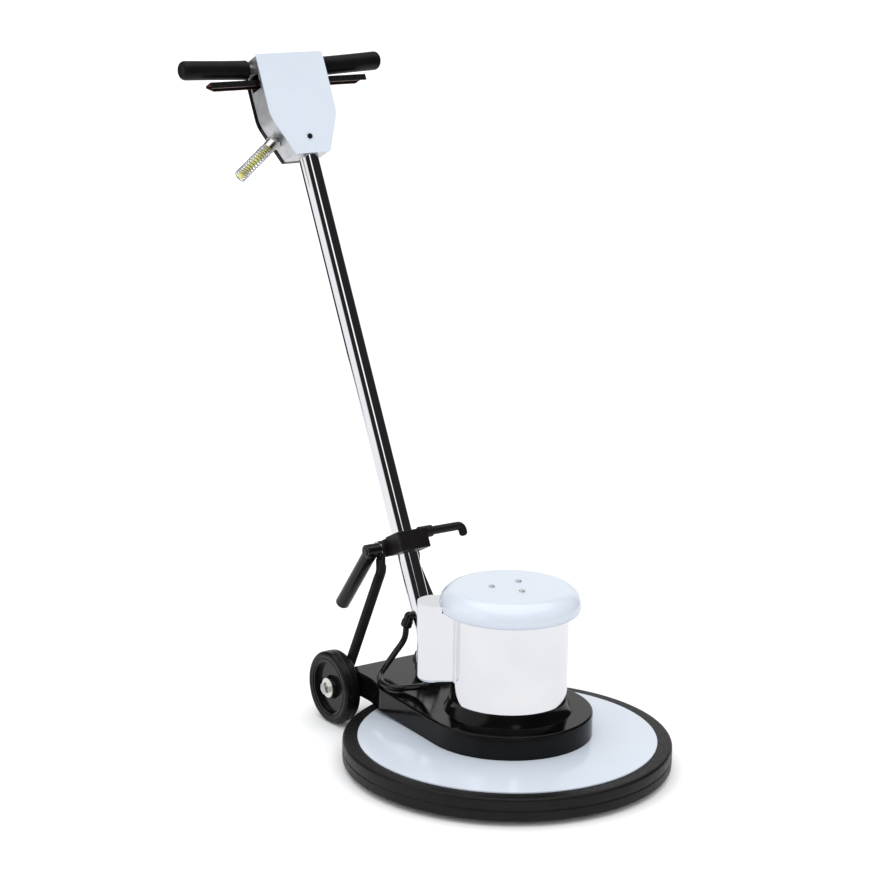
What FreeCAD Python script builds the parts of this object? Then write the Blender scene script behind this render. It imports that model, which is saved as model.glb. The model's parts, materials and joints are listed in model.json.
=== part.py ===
import FreeCAD, Part
import math
import os
from FreeCAD import Placement, Rotation, Vector

# Rotary floor machine of the 20 inch class: a round pad turns under a domed housing, driven through
# a planetary gearbox by the upright motor, and steered by a long tilting handle with two wheels behind.
# Millimetres, +Z up. The origin is on the floor under the motor shaft. The front faces -Y, the
# operator and the wheels are at +Y, and +X is the operator's left.

# ---- driving dimensions -------------------------------------------------------------------------
HOUSING_R = 260.0          # domed cover over the pad
HOUSING_EDGE_Z = 51.0
HOUSING_CROWN_Z = 61.6
BUMPER_R = 286.0
BUMPER_LOW_Z = 8.6
BUMPER_HIGH_Z = 49.0
PAD_R = 249.0
PAD_THICK = 22.0

FRAME_R = 147.3            # round front of the cast frame
FRAME_TOP_Z = 103.3
FRAME_HALF_WIDTH = 124.5   # straight rear part
FRAME_REAR_Y = 320.6
WALL = 6.0

MOTOR_R = 101.5
MOTOR_LOW_Z = 125.0
MOTOR_HIGH_Z = 286.0
CAP_R = 121.6
CAP_LOW_Z = 283.0
CAP_HIGH_Z = 322.0

WHEEL_R = 66.0
WHEEL_WIDTH = 32.0
WHEEL_OUTER_X = 158.7
AXLE_Y = 336.0
AXLE_R = 8.0

TUBE_R = 19.05             # 1.5 inch handle tube
TUBE_WALL = 2.0
TUBE_LEAN = 27.0           # degrees back from upright
FOOT_Y = 231.5             # pivot at the foot of the handle
FOOT_Z = 128.0
TUBE_TOP = 1034.0          # along the tube from the foot pivot

CLAMP_PIVOT_ALONG = 211.0  # clamp pivot, along the tube and behind it
CLAMP_PIVOT_BACK = 24.6
BRACE_R = 9.4

RUNNING = 0.05             # radial clearance of a running fit
GAP = 0.5                  # plain clearance between parts that pass each other

GEAR_MODULE = 1.5
SUN_TEETH = 10
PLANET_TEETH = 35
RING_TEETH = 80
PLANET_COUNT = 3
PRESSURE_ANGLE = 20.0
BACKLASH = 0.3             # taken off the tooth thickness at the pitch line
PLANET_PIN_R = 6.0
GEAR_LOW_Z = 71.0
GEAR_HIGH_Z = 87.0

X = Vector(1, 0, 0)
Y = Vector(0, 1, 0)
Z = Vector(0, 0, 1)
CENTRE = Vector(0, 0, 0)

parts = {}


# ---- shape helpers ------------------------------------------------------------------------------
def cylinder(radius, start, end):
    """Solid round bar between two points."""
    along = end - start
    return Part.makeCylinder(radius, along.Length, start, along)


def tube(outer, inner, start, end):
    """Bar with a coaxial hole right through it."""
    return cylinder(outer, start, end).cut(cylinder(inner, start, end))


def ring(outer, inner, low_z, high_z):
    """Ring about the motor axis."""
    return tube(outer, inner, Vector(0, 0, low_z), Vector(0, 0, high_z))


def block(low, high):
    """Box between two corners."""
    size = Vector(*high) - Vector(*low)
    return Part.makeBox(size.x, size.y, size.z, Vector(*low))


def lathe(outline):
    """Turn a closed outline of (radius, z) points about the motor axis."""
    points = [Vector(radius, 0, z) for radius, z in outline]
    wire = Part.makePolygon(points + points[:1])
    return Part.Face(wire).revolve(CENTRE, Z, 360)


def hexagon_prism(across_flats, start, end):
    """Hexagonal bar between two points."""
    along = end - start
    corner_r = across_flats / math.sqrt(3)
    corners = [Vector(corner_r * math.cos(math.radians(60 * i)),
                      corner_r * math.sin(math.radians(60 * i)), 0) for i in range(7)]
    prism = Part.Face(Part.makePolygon(corners)).extrude(Vector(0, 0, along.Length))
    prism.Placement = Placement(start, Rotation(Z, along))
    return prism


def fuse(*shapes):
    """One solid from several that touch or overlap."""
    joined = shapes[0]
    for shape in shapes[1:]:
        joined = joined.fuse(shape)
    return joined.removeSplitter()


def spin_copies(shape, count, start_deg=0.0, centre=CENTRE, axis=Z):
    """The same shape repeated about an axis."""
    copies = []
    for i in range(count):
        copy = shape.copy()
        copy.rotate(centre, axis, start_deg + 360.0 * i / count)
        copies.append(copy)
    return copies


def mirror_x(shape):
    """The same piece for the other side."""
    return shape.mirror(CENTRE, X)


def smooth_edges(points, bends):
    """Lines along points, with a tangent arc of the given radius at each inner corner."""
    edges = []
    start = points[0]
    for before, corner, after, bend_r in zip(points, points[1:], points[2:], bends):
        towards = (before - corner).normalize()
        onwards = (after - corner).normalize()
        half_angle = math.acos(max(-1.0, min(1.0, towards.dot(onwards)))) / 2
        setback = bend_r / math.tan(half_angle)
        arc_start = corner + towards * setback
        arc_end = corner + onwards * setback
        bisector = (towards + onwards).normalize()
        arc_mid = corner + bisector * (bend_r / math.sin(half_angle) - bend_r)
        edges.append(Part.makeLine(start, arc_start))
        edges.append(Part.Arc(arc_start, arc_mid, arc_end).toShape())
        start = arc_end
    edges.append(Part.makeLine(start, points[-1]))
    return edges


def rounded_outline(corners, bends):
    """Closed outline with a tangent arc of the given radius at each corner."""
    start = (corners[-1] + corners[0]) * 0.5
    return Part.Wire(smooth_edges([start] + corners + [start], bends))


def bent_rod(points, radius, bend_r):
    """Round bar swept along a rounded path."""
    path = Part.Wire(smooth_edges(points, [bend_r] * len(points)))
    section = Part.Wire(Part.makeCircle(radius, points[0], points[1] - points[0]))
    return path.makePipeShell([section], True, True)


def rounded(shape, radius, wanted):
    """Fillet the edges that wanted(edge) picks."""
    return shape.makeFillet(radius, [edge for edge in shape.Edges if wanted(edge)])


def edge_round(edge, point):
    """True for a circular edge whose middle is at the point."""
    return (edge.CenterOfMass - point).Length < 0.5


def edge_height(edge, z, tolerance=0.01):
    """True for an edge that lies in the level plane at z."""
    return abs(edge.BoundBox.ZMin - z) < tolerance and abs(edge.BoundBox.ZMax - z) < tolerance


def lean_handle(shape):
    """Take a shape from the upright handle frame to its leaning place.

    In the upright frame the foot pivot is the origin, +Z runs up the tube and +Y is behind it.
    """
    placed = shape.copy()
    placed.rotate(CENTRE, X, -TUBE_LEAN)
    placed.translate(Vector(0, FOOT_Y, FOOT_Z))
    return placed


def handle_point(x, back, along):
    """Where a point of the upright handle frame really is."""
    lean = math.radians(TUBE_LEAN)
    return Vector(x,
                  FOOT_Y + back * math.cos(lean) + along * math.sin(lean),
                  FOOT_Z - back * math.sin(lean) + along * math.cos(lean))


# ---- gears --------------------------------------------------------------------------------------
def involute(angle):
    return math.tan(angle) - angle


def half_tooth_angle(radius, teeth, thinning):
    """Half of a tooth's angle, in radians, at a radius."""
    pitch_r = GEAR_MODULE * teeth / 2
    pressure = math.radians(PRESSURE_ANGLE)
    base_r = pitch_r * math.cos(pressure)
    local = math.acos(min(1.0, base_r / radius))
    at_pitch = math.pi / (2 * teeth) - thinning / (2 * pitch_r)
    return at_pitch + involute(pressure) - involute(local)


def gear_outline(teeth, radii, thinning):
    """Closed outline of a gear whose flanks pass through the given radii, root first."""
    points = []
    for tooth in range(teeth):
        middle = 2 * math.pi * tooth / teeth
        halves = [half_tooth_angle(radius, teeth, thinning) for radius in radii]
        rising = [(radius, middle - half) for radius, half in zip(radii, halves)]
        falling = [(radius, middle + half) for radius, half in zip(radii, halves)]
        points += rising + falling[::-1]
    return [Vector(radius * math.cos(angle), radius * math.sin(angle), 0) for radius, angle in points]


def gear_blank(teeth, radii, thinning, low_z, high_z):
    """Toothed prism about the motor axis."""
    outline = gear_outline(teeth, radii, thinning)
    face = Part.Face(Part.makePolygon(outline + outline[:1]))
    face.translate(Vector(0, 0, low_z))
    return face.extrude(Vector(0, 0, high_z - low_z))


def outer_gear(teeth, low_z, high_z):
    pitch_r = GEAR_MODULE * teeth / 2
    radii = [pitch_r + GEAR_MODULE * step for step in (-1.15, -0.55, 0.1, 0.8)]
    return gear_blank(teeth, radii, BACKLASH, low_z, high_z)


def ring_gear(low_z, high_z, outer_r):
    """Internal gear: a ring with the space of a fatter gear taken out of it."""
    pitch_r = GEAR_MODULE * RING_TEETH / 2
    radii = [pitch_r + GEAR_MODULE * step for step in (-0.8, -0.1, 0.55, 1.15)]
    space = gear_blank(RING_TEETH, radii, -BACKLASH, low_z - 1, high_z + 1)
    return cylinder(outer_r, Z * low_z, Z * high_z).cut(space)


def planet_place():
    """Distance of a planet's axis from the motor axis."""
    return GEAR_MODULE * (SUN_TEETH + PLANET_TEETH) / 2


def planet_gear(index):
    """Planet turned so that its teeth sit in the sun's and the ring's gaps."""
    place_deg = 360.0 * index / PLANET_COUNT
    gear = outer_gear(PLANET_TEETH, GEAR_LOW_Z, GEAR_HIGH_Z)
    gear.rotate(CENTRE, Z, place_deg * (1 + SUN_TEETH / PLANET_TEETH))
    gear = gear.cut(cylinder(PLANET_PIN_R + RUNNING, CENTRE, Z * CASE_HIGH_Z))
    place = math.radians(place_deg)
    gear.translate(Vector(planet_place() * math.cos(place), planet_place() * math.sin(place), 0))
    return gear


# ---- drive: pad, driver, gearbox ----------------------------------------------------------------
PAD_EDGE_R = 4.0
DRIVER_R = PAD_R - 4.0
DRIVER_HOLE_R = 41.0
DRIVER_LOW_Z = PAD_THICK
DRIVER_HIGH_Z = DRIVER_LOW_Z + 8.0
DRIVER_RIB = 4.0
RIB_COUNT = 8
CLUTCH_HIGH_Z = DRIVER_HIGH_Z + 8.0
LUG_COUNT = 3
LUG_PLAY = 0.4
LUG_HALF_WIDTH = 8.0
LUG_HUB_R = 24.0
LUG_TIP_R = 46.0
CLUTCH_R = 72.0
SPINDLE_R = 15.0
CARRIER_R = 46.0
CARRIER_LOW_Z = 60.0
CARRIER_HIGH_Z = 69.0
CASE_R = 81.0
CASE_WALL = 5.0
CASE_LOW_Z = 50.0
CASE_HIGH_Z = 96.0
CASE_ROOF = 6.0
COVER_LOW_Z = 43.0
SHAFT_HOLE_R = 30.0        # through the gear case and the frame's deck
BEARING_R = 31.0


def lug_shape(clearance, low_z, high_z):
    """Hub with three driving lugs, grown by a clearance for the part that takes it."""
    hub = cylinder(LUG_HUB_R + clearance, Z * low_z, Z * high_z)
    half = LUG_HALF_WIDTH + clearance
    lug = block((0, -half, low_z), (LUG_TIP_R + clearance, half, high_z))
    return fuse(hub, *spin_copies(lug, LUG_COUNT))


def build_pad_drive():
    # the pad still has its centre knock-out in place, so its face is a full disc
    pad = cylinder(PAD_R, CENTRE, Z * PAD_THICK)
    parts["floor_pad"] = rounded(pad, PAD_EDGE_R, lambda edge: edge_height(edge, 0))
    rib_high_z = DRIVER_HIGH_Z + DRIVER_RIB
    disc = ring(DRIVER_R, DRIVER_HOLE_R, DRIVER_LOW_Z, DRIVER_HIGH_Z)
    rim = ring(DRIVER_R, DRIVER_R - 10, DRIVER_HIGH_Z, rib_high_z)
    rib = block((CLUTCH_R + 6, -4, DRIVER_HIGH_Z), (DRIVER_R - 6, 4, rib_high_z))
    parts["pad_driver"] = fuse(disc, rim, *spin_copies(rib, RIB_COUNT))
    plate = cylinder(CLUTCH_R, Z * DRIVER_HIGH_Z, Z * CLUTCH_HIGH_Z)
    parts["clutch_plate"] = plate.cut(lug_shape(LUG_PLAY, DRIVER_HIGH_Z - 1, CLUTCH_HIGH_Z + 1))


def build_gearbox():
    spindle = cylinder(SPINDLE_R, Z * (DRIVER_HIGH_Z - 4), Z * CARRIER_HIGH_Z)
    parts["output_spindle"] = fuse(lug_shape(0.0, DRIVER_HIGH_Z, CLUTCH_HIGH_Z), spindle)
    carrier = ring(CARRIER_R, SPINDLE_R, CARRIER_LOW_Z, CARRIER_HIGH_Z)
    pin = cylinder(PLANET_PIN_R, Vector(planet_place(), 0, CARRIER_LOW_Z),
                   Vector(planet_place(), 0, GEAR_HIGH_Z + 1))
    parts["planet_carrier"] = fuse(carrier, *spin_copies(pin, PLANET_COUNT))
    for index in range(PLANET_COUNT):
        parts["planet_gear_%d" % (index + 1)] = planet_gear(index)
    parts["ring_gear"] = ring_gear(GEAR_LOW_Z, GEAR_HIGH_Z, CASE_R - CASE_WALL)
    inner_r = CASE_R - CASE_WALL
    roof_z = CASE_HIGH_Z - CASE_ROOF
    parts["gear_case"] = lathe([(SHAFT_HOLE_R, CASE_HIGH_Z), (SHAFT_HOLE_R, roof_z), (inner_r, roof_z),
                                (inner_r, CASE_LOW_Z), (CASE_R, CASE_LOW_Z), (CASE_R, CASE_HIGH_Z)])
    seat_r = BEARING_R + 6.0
    seat_high_z = CARRIER_LOW_Z - 1.5
    parts["gear_case_cover"] = lathe([(BEARING_R, COVER_LOW_Z), (CASE_R, COVER_LOW_Z), (CASE_R, CASE_LOW_Z),
                                      (seat_r, CASE_LOW_Z), (seat_r, seat_high_z), (BEARING_R, seat_high_z)])
    parts["spindle_bearing"] = ring(BEARING_R, SPINDLE_R + RUNNING, COVER_LOW_Z, seat_high_z)


# ---- motor --------------------------------------------------------------------------------------
SHAFT_R = 10.0
SHAFT_TOP_Z = 262.0
BALL_BEARING_R = 23.5
BALL_BEARING_WIDTH = 14.0
LOWER_BEARING_Z = 106.0
UPPER_BEARING_Z = 242.0
BASE_PLATE_R = 112.0
BELL_THICK = 6.0
BELL_HUB_R = 39.5
VENT_R = 11.0
VENT_CIRCLE_R = 68.0
VENT_COUNT = 8
SHELL_WALL = 2.5
STATOR_LOW_Z = 162.0
STATOR_HIGH_Z = 222.0
STATOR_BORE_R = 58.0
SLOT_COUNT = 12
SLOT_HALF_WIDTH = 6.0
WINDING_R = MOTOR_R - 16.0
WINDING_OVERHANG_LOW = 22.0
WINDING_OVERHANG_HIGH = 15.0
WINDING_EDGE_R = 5.0
AIR_GAP = 0.8
FAN_LOW_Z = 127.0
FAN_HIGH_Z = 137.0
FAN_R = 84.0
FAN_HUB_R = 18.0
BLADE_COUNT = 9
END_RING_INNER_R = 30.0
END_RING_HEIGHT = 8.0
CAP_WALL = 2.0
CAP_FLAT_R = 97.0
CAP_WIDEST_Z = 289.0
CAP_SCREW_CIRCLE_R = 32.5
CAP_SCREW_R = 2.5
CAP_SCREW_HEAD_R = 5.2
CAP_SCREW_HEAD = 2.6
CAP_SCREW_COUNT = 3
CAP_POST_R = 6.0


def build_motor_body():
    # cast plate that carries the lower bearing and stands the motor clear of the frame
    foot = Vector(BASE_PLATE_R, 0, FRAME_TOP_Z)
    neck = Vector(MOTOR_R + 1.5, 0, MOTOR_LOW_Z)
    hollow = Vector(MOTOR_R + 4.5, 0, FRAME_TOP_Z + 11)
    outline = [Part.Arc(foot, hollow, neck).toShape(),
               Part.makeLine(neck, Vector(BALL_BEARING_R, 0, MOTOR_LOW_Z)),
               Part.makeLine(Vector(BALL_BEARING_R, 0, MOTOR_LOW_Z), Vector(BALL_BEARING_R, 0, FRAME_TOP_Z)),
               Part.makeLine(Vector(BALL_BEARING_R, 0, FRAME_TOP_Z), foot)]
    parts["motor_base_plate"] = Part.Face(Part.Wire(outline)).revolve(CENTRE, Z, 360)
    parts["motor_shell"] = ring(MOTOR_R, MOTOR_R - SHELL_WALL, MOTOR_LOW_Z, MOTOR_HIGH_Z)
    web = ring(MOTOR_R - SHELL_WALL, BALL_BEARING_R, UPPER_BEARING_Z, UPPER_BEARING_Z + BELL_THICK)
    hub = ring(BELL_HUB_R, BALL_BEARING_R, UPPER_BEARING_Z, UPPER_BEARING_Z + BALL_BEARING_WIDTH)
    vent_place = X * VENT_CIRCLE_R
    vent = cylinder(VENT_R, vent_place + Z * UPPER_BEARING_Z, vent_place + Z * (UPPER_BEARING_Z + BELL_THICK))
    parts["upper_end_bell"] = fuse(web, hub).cut(Part.makeCompound(spin_copies(vent, VENT_COUNT)))
    parts["motor_bearings"] = Part.makeCompound([
        ring(BALL_BEARING_R, SHAFT_R + RUNNING, low_z, low_z + BALL_BEARING_WIDTH)
        for low_z in (LOWER_BEARING_Z, UPPER_BEARING_Z)])


def build_stator():
    core = ring(MOTOR_R - SHELL_WALL, STATOR_BORE_R, STATOR_LOW_Z, STATOR_HIGH_Z)
    slot = block((STATOR_BORE_R + 4, -SLOT_HALF_WIDTH, STATOR_LOW_Z - 1),
                 (WINDING_R, SLOT_HALF_WIDTH, STATOR_HIGH_Z + 1))
    parts["stator_core"] = core.cut(Part.makeCompound(spin_copies(slot, SLOT_COUNT)))
    bar = block((STATOR_BORE_R + 5, 1 - SLOT_HALF_WIDTH, STATOR_LOW_Z - 4),
                (WINDING_R - 1, SLOT_HALF_WIDTH - 1, STATOR_HIGH_Z + 4))
    low_end = STATOR_LOW_Z - WINDING_OVERHANG_LOW
    high_end = STATOR_HIGH_Z + WINDING_OVERHANG_HIGH
    low_turns = ring(WINDING_R + 2, STATOR_BORE_R + 3, low_end, STATOR_LOW_Z - 3)
    high_turns = ring(WINDING_R + 2, STATOR_BORE_R + 3, STATOR_HIGH_Z + 3, high_end)
    low_turns = rounded(low_turns, WINDING_EDGE_R, lambda edge: edge_height(edge, low_end))
    high_turns = rounded(high_turns, WINDING_EDGE_R, lambda edge: edge_height(edge, high_end))
    parts["stator_windings"] = fuse(low_turns, high_turns, *spin_copies(bar, SLOT_COUNT))


def build_rotor():
    pinion_high_z = CASE_HIGH_Z - 4
    pinion = outer_gear(SUN_TEETH, GEAR_LOW_Z - 1, pinion_high_z)
    shank = cylinder(SHAFT_R, Z * pinion_high_z, Z * SHAFT_TOP_Z)
    parts["motor_shaft"] = fuse(pinion, shank)
    core = ring(STATOR_BORE_R - AIR_GAP, SHAFT_R, STATOR_LOW_Z, STATOR_HIGH_Z)
    end_outer_r = STATOR_BORE_R - 4
    end_inner_r = END_RING_INNER_R
    low_end = ring(end_outer_r, end_inner_r, STATOR_LOW_Z - END_RING_HEIGHT, STATOR_LOW_Z)
    high_end = ring(end_outer_r, end_inner_r, STATOR_HIGH_Z, STATOR_HIGH_Z + END_RING_HEIGHT)
    parts["rotor_core"] = fuse(core, low_end, high_end)
    hub = ring(FAN_HUB_R, SHAFT_R, FAN_LOW_Z, FAN_HIGH_Z)
    disc = ring(FAN_R, FAN_HUB_R - 1, FAN_LOW_Z, FAN_LOW_Z + 2)
    blade = block((FAN_HUB_R + 8, -1, FAN_LOW_Z + 1), (FAN_R - 1, 1, FAN_HIGH_Z))
    parts["cooling_fan"] = fuse(hub, disc, *spin_copies(blade, BLADE_COUNT))


def cap_section(inset):
    """Half section of the dome, shrunk by an inset, closed along the motor axis."""
    low = Vector(CAP_R - 2 - inset, 0, CAP_LOW_Z)
    shoulder = Vector(CAP_R - inset, 0, CAP_WIDEST_Z)
    edge = Vector(CAP_FLAT_R, 0, CAP_HIGH_Z - inset)
    top = Vector(0, 0, CAP_HIGH_Z - inset)
    floor = Vector(0, 0, CAP_LOW_Z)
    drop = edge.z - shoulder.z
    run = shoulder.x - edge.x
    half_turn = math.sin(math.radians(45))
    middle = Vector(edge.x + run * half_turn, 0, shoulder.z + drop * half_turn)
    tuck = Vector(CAP_R - inset - 0.6, 0, (CAP_LOW_Z + CAP_WIDEST_Z) / 2 - 0.6)
    outline = [Part.Arc(low, tuck, shoulder).toShape(),
               Part.Arc(shoulder, middle, edge).toShape(),
               Part.makeLine(edge, top),
               Part.makeLine(top, floor),
               Part.makeLine(floor, low)]
    return Part.Face(Part.Wire(outline))


def build_cap():
    outer = cap_section(0).revolve(CENTRE, Z, 360)
    inner = cap_section(CAP_WALL).revolve(CENTRE, Z, 360)
    place = Vector(0, -CAP_SCREW_CIRCLE_R, 0)
    hole = cylinder(CAP_SCREW_R, place + Z * (CAP_HIGH_Z - 10), place + Z * (CAP_HIGH_Z + 10))
    holes = Part.makeCompound(spin_copies(hole, CAP_SCREW_COUNT))
    parts["motor_cap"] = outer.cut(inner).cut(holes)
    post_foot_z = UPPER_BEARING_Z + BALL_BEARING_WIDTH
    post = cylinder(CAP_POST_R, place + Z * post_foot_z, place + Z * (CAP_HIGH_Z - CAP_WALL))
    socket = cylinder(CAP_SCREW_R, place + Z * (CAP_HIGH_Z - 20), place + Z * CAP_HIGH_Z)
    posts = spin_copies(post.cut(socket), CAP_SCREW_COUNT)
    parts["upper_end_bell"] = fuse(parts["upper_end_bell"], *posts)
    head_top_z = CAP_HIGH_Z + CAP_SCREW_HEAD
    shank = cylinder(CAP_SCREW_R, place + Z * (CAP_HIGH_Z - 18), place + Z * CAP_HIGH_Z)
    head = cylinder(CAP_SCREW_HEAD_R, place + Z * CAP_HIGH_Z, place + Z * head_top_z)
    head = rounded(head, CAP_SCREW_HEAD / 2, lambda edge: edge_height(edge, head_top_z))
    drive = hexagon_prism(3.0, place + Z * (head_top_z - 1.6), place + Z * (head_top_z + 1))
    screw = fuse(shank, head).cut(drive)
    parts["cap_screws"] = Part.makeCompound(spin_copies(screw, CAP_SCREW_COUNT))


# ---- housing, bumper and cast frame --------------------------------------------------------------
HOUSING_WALL = 4.0
BUMPER_EDGE_R = 5.0
GROOVE = 1.2
SKIRT_LOW_Z = 12.0
SKIRT_R = 257.5
FRAME_TAPER = 3.5          # degrees, sides behind the round front
FRAME_TAPER_END_Y = 200.0
FRAME_STRAIGHT_Y = 245.0
FRAME_DECK = 7.3           # thickness of the frame's top wall
FRAME_EDGE_R = 4.0
WAIST_BEND_R = 60.0
CORNER_BEND_R = 14.0
LUG_INNER_X = 92.0
LUG_OUTER_X = 106.0
LUG_EYE_R = 15.0
DECK_BOLT_R = 4.0


def build_housing():
    crown = Vector(FRAME_R, 0, HOUSING_CROWN_Z)
    edge = Vector(HOUSING_R, 0, HOUSING_EDGE_Z)
    bulge = (crown + edge) * 0.5 + Z * 1.2
    hole_r = CASE_R + GAP
    inner_r = SKIRT_R - HOUSING_WALL
    below = [(HOUSING_R, HOUSING_EDGE_Z), (HOUSING_R, BUMPER_HIGH_Z), (SKIRT_R, BUMPER_HIGH_Z),
             (SKIRT_R, SKIRT_LOW_Z), (inner_r, SKIRT_LOW_Z), (inner_r, HOUSING_EDGE_Z - HOUSING_WALL),
             (FRAME_R, HOUSING_CROWN_Z - HOUSING_WALL), (hole_r, HOUSING_CROWN_Z - HOUSING_WALL),
             (hole_r, HOUSING_CROWN_Z), (FRAME_R, HOUSING_CROWN_Z)]
    corners = [Vector(radius, 0, z) for radius, z in below]
    outline = [Part.makeLine(start, end) for start, end in zip(corners, corners[1:])]
    outline.append(Part.Arc(crown, bulge, edge).toShape())
    parts["pad_housing"] = Part.Face(Part.Wire(outline)).revolve(CENTRE, Z, 360)
    groove_z = (BUMPER_LOW_Z + BUMPER_HIGH_Z) / 2
    bumper = lathe([(SKIRT_R, BUMPER_LOW_Z), (BUMPER_R, BUMPER_LOW_Z), (BUMPER_R, groove_z - GROOVE),
                    (BUMPER_R - GROOVE, groove_z), (BUMPER_R, groove_z + GROOVE), (BUMPER_R, BUMPER_HIGH_Z),
                    (SKIRT_R, BUMPER_HIGH_Z)])

    def outer_rim(edge):
        at_rim = edge_height(edge, BUMPER_LOW_Z) or edge_height(edge, BUMPER_HIGH_Z)
        return at_rim and edge.BoundBox.XMax > BUMPER_R - 1

    parts["bumper_ring"] = rounded(bumper, BUMPER_EDGE_R, outer_rim)


def frame_plan(inset, z):
    """Plan outline of the frame: round front, tapering sides, square back, as a face at a height."""
    taper = math.radians(FRAME_TAPER)
    nose_r = FRAME_R - inset
    tangent = Vector(nose_r * math.cos(taper), nose_r * math.sin(taper), z)
    waist = Vector(tangent.x - (FRAME_TAPER_END_Y - tangent.y) * math.tan(taper), FRAME_TAPER_END_Y, z)
    side = Vector(FRAME_HALF_WIDTH - inset, FRAME_STRAIGHT_Y, z)
    corner = Vector(FRAME_HALF_WIDTH - inset, FRAME_REAR_Y - inset, z)
    right = [tangent, waist, side, corner]
    left = [Vector(-point.x, point.y, z) for point in right[::-1]]
    bends = [WAIST_BEND_R, WAIST_BEND_R, CORNER_BEND_R, CORNER_BEND_R, WAIST_BEND_R, WAIST_BEND_R]
    edges = smooth_edges(right + left, bends)
    edges.append(Part.Arc(left[-1], Vector(0, -nose_r, z), right[0]).toShape())
    return Part.Face(Part.Wire(edges))


def build_frame():
    height = FRAME_TOP_Z - HOUSING_CROWN_Z
    outer = frame_plan(0, HOUSING_CROWN_Z).extrude(Z * height)
    outer = rounded(outer, FRAME_EDGE_R, lambda edge: edge_height(edge, FRAME_TOP_Z))
    cavity = frame_plan(WALL, HOUSING_CROWN_Z - 1).extrude(Z * (height + 1 - FRAME_DECK))
    shell = outer.cut(cavity)
    axle_point = Vector(0, AXLE_Y, WHEEL_R)
    arm = block((LUG_INNER_X, FRAME_REAR_Y - WALL - 20, HOUSING_CROWN_Z - 6),
                (LUG_OUTER_X, AXLE_Y, WHEEL_R + LUG_EYE_R))
    lug = fuse(arm, cylinder(LUG_EYE_R, axle_point + X * LUG_INNER_X, axle_point + X * LUG_OUTER_X))
    frame = fuse(shell, lug, mirror_x(lug))
    frame = frame.cut(cylinder(AXLE_R, axle_point - X * WHEEL_OUTER_X, axle_point + X * WHEEL_OUTER_X))
    frame = frame.cut(cylinder(SHAFT_HOLE_R, CENTRE, Z * CAP_LOW_Z))
    bracket_holes = [cylinder(DECK_BOLT_R, place, place + Z * CAP_LOW_Z) for place in foot_bolt_places()]
    parts["base_frame"] = frame.cut(Part.makeCompound(bracket_holes))


# ---- foot bracket, axle and wheels ---------------------------------------------------------------
EAR_INNER_X = 21.0
EAR_OUTER_X = 29.0
EAR_R = 17.0
PIVOT_BOLT_R = 6.0
BRACKET_PLATE = 5.0
BRACKET_FRONT = 42.0       # plate in front of the pivot, and its narrow tongue behind it
BRACKET_TONGUE = 31.0
BRACKET_TONGUE_X = 19.0
BRACKET_BOLT_X = 11.0
BRACKET_BOLT_FRONT = 31.0
BRACKET_BOLT_BACK = 22.5
AXLE_NUT_FLATS = 19.0
WASHER_R = 18.0
EYE_LOW_X = 110.0
EYE_HIGH_X = 122.0
BUSH_R = 12.0
TYRE_INNER_R = 50.0
TREAD_CORNER_R = 7.0
DISH_R = 47.5
DISH_DEPTH = 11.0


def foot_bolt_places():
    return [Vector(x, FOOT_Y + y, 0)
            for x in (-BRACKET_BOLT_X, BRACKET_BOLT_X) for y in (-BRACKET_BOLT_FRONT, BRACKET_BOLT_BACK)]


def build_foot_bracket():
    plate_top = FRAME_TOP_Z + BRACKET_PLATE
    plate = fuse(block((-EAR_OUTER_X, FOOT_Y - BRACKET_FRONT, FRAME_TOP_Z),
                       (EAR_OUTER_X, FOOT_Y + 12, plate_top)),
                 block((-BRACKET_TONGUE_X, FOOT_Y, FRAME_TOP_Z),
                       (BRACKET_TONGUE_X, FOOT_Y + BRACKET_TONGUE, plate_top)))
    plate = rounded(plate, 4.0, lambda edge: edge.BoundBox.ZLength > BRACKET_PLATE - 0.01)
    ear = fuse(block((EAR_INNER_X, FOOT_Y - EAR_R, FRAME_TOP_Z + 1), (EAR_OUTER_X, FOOT_Y + 12, FOOT_Z)),
               cylinder(EAR_R, Vector(EAR_INNER_X, FOOT_Y, FOOT_Z), Vector(EAR_OUTER_X, FOOT_Y, FOOT_Z)))
    bracket = fuse(plate, ear, mirror_x(ear))
    pivot = Vector(0, FOOT_Y, FOOT_Z)
    bore = cylinder(PIVOT_BOLT_R, pivot - X * EAR_OUTER_X, pivot + X * EAR_OUTER_X)
    holes = [cylinder(DECK_BOLT_R, place, place + Z * plate_top) for place in foot_bolt_places()]
    parts["foot_bracket"] = bracket.cut(bore).cut(Part.makeCompound(holes))
    bolts = []
    for place in foot_bolt_places():
        shank = cylinder(DECK_BOLT_R, place + Z * (FRAME_TOP_Z - FRAME_DECK), place + Z * plate_top)
        bolts.append(fuse(shank, hexagon_prism(13.0, place + Z * plate_top, place + Z * (plate_top + 5.3))))
    parts["foot_bracket_bolts"] = Part.makeCompound(bolts)
    shank = cylinder(PIVOT_BOLT_R, pivot - X * EAR_OUTER_X, pivot + X * (EAR_OUTER_X + 12))
    head = hexagon_prism(19.0, pivot - X * (EAR_OUTER_X + 8), pivot - X * EAR_OUTER_X)
    nut = hexagon_prism(19.0, pivot + X * EAR_OUTER_X, pivot + X * (EAR_OUTER_X + 10))
    parts["foot_pivot_bolt"] = Part.makeCompound([fuse(shank, head), nut.cut(shank)])


def turned_on_axle(outline):
    """Turn a closed outline of (radius, x) points about the wheel axle."""
    shape = lathe(outline)
    shape.rotate(CENTRE, Y, 90)
    shape.translate(Vector(0, AXLE_Y, WHEEL_R))
    return shape


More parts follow.
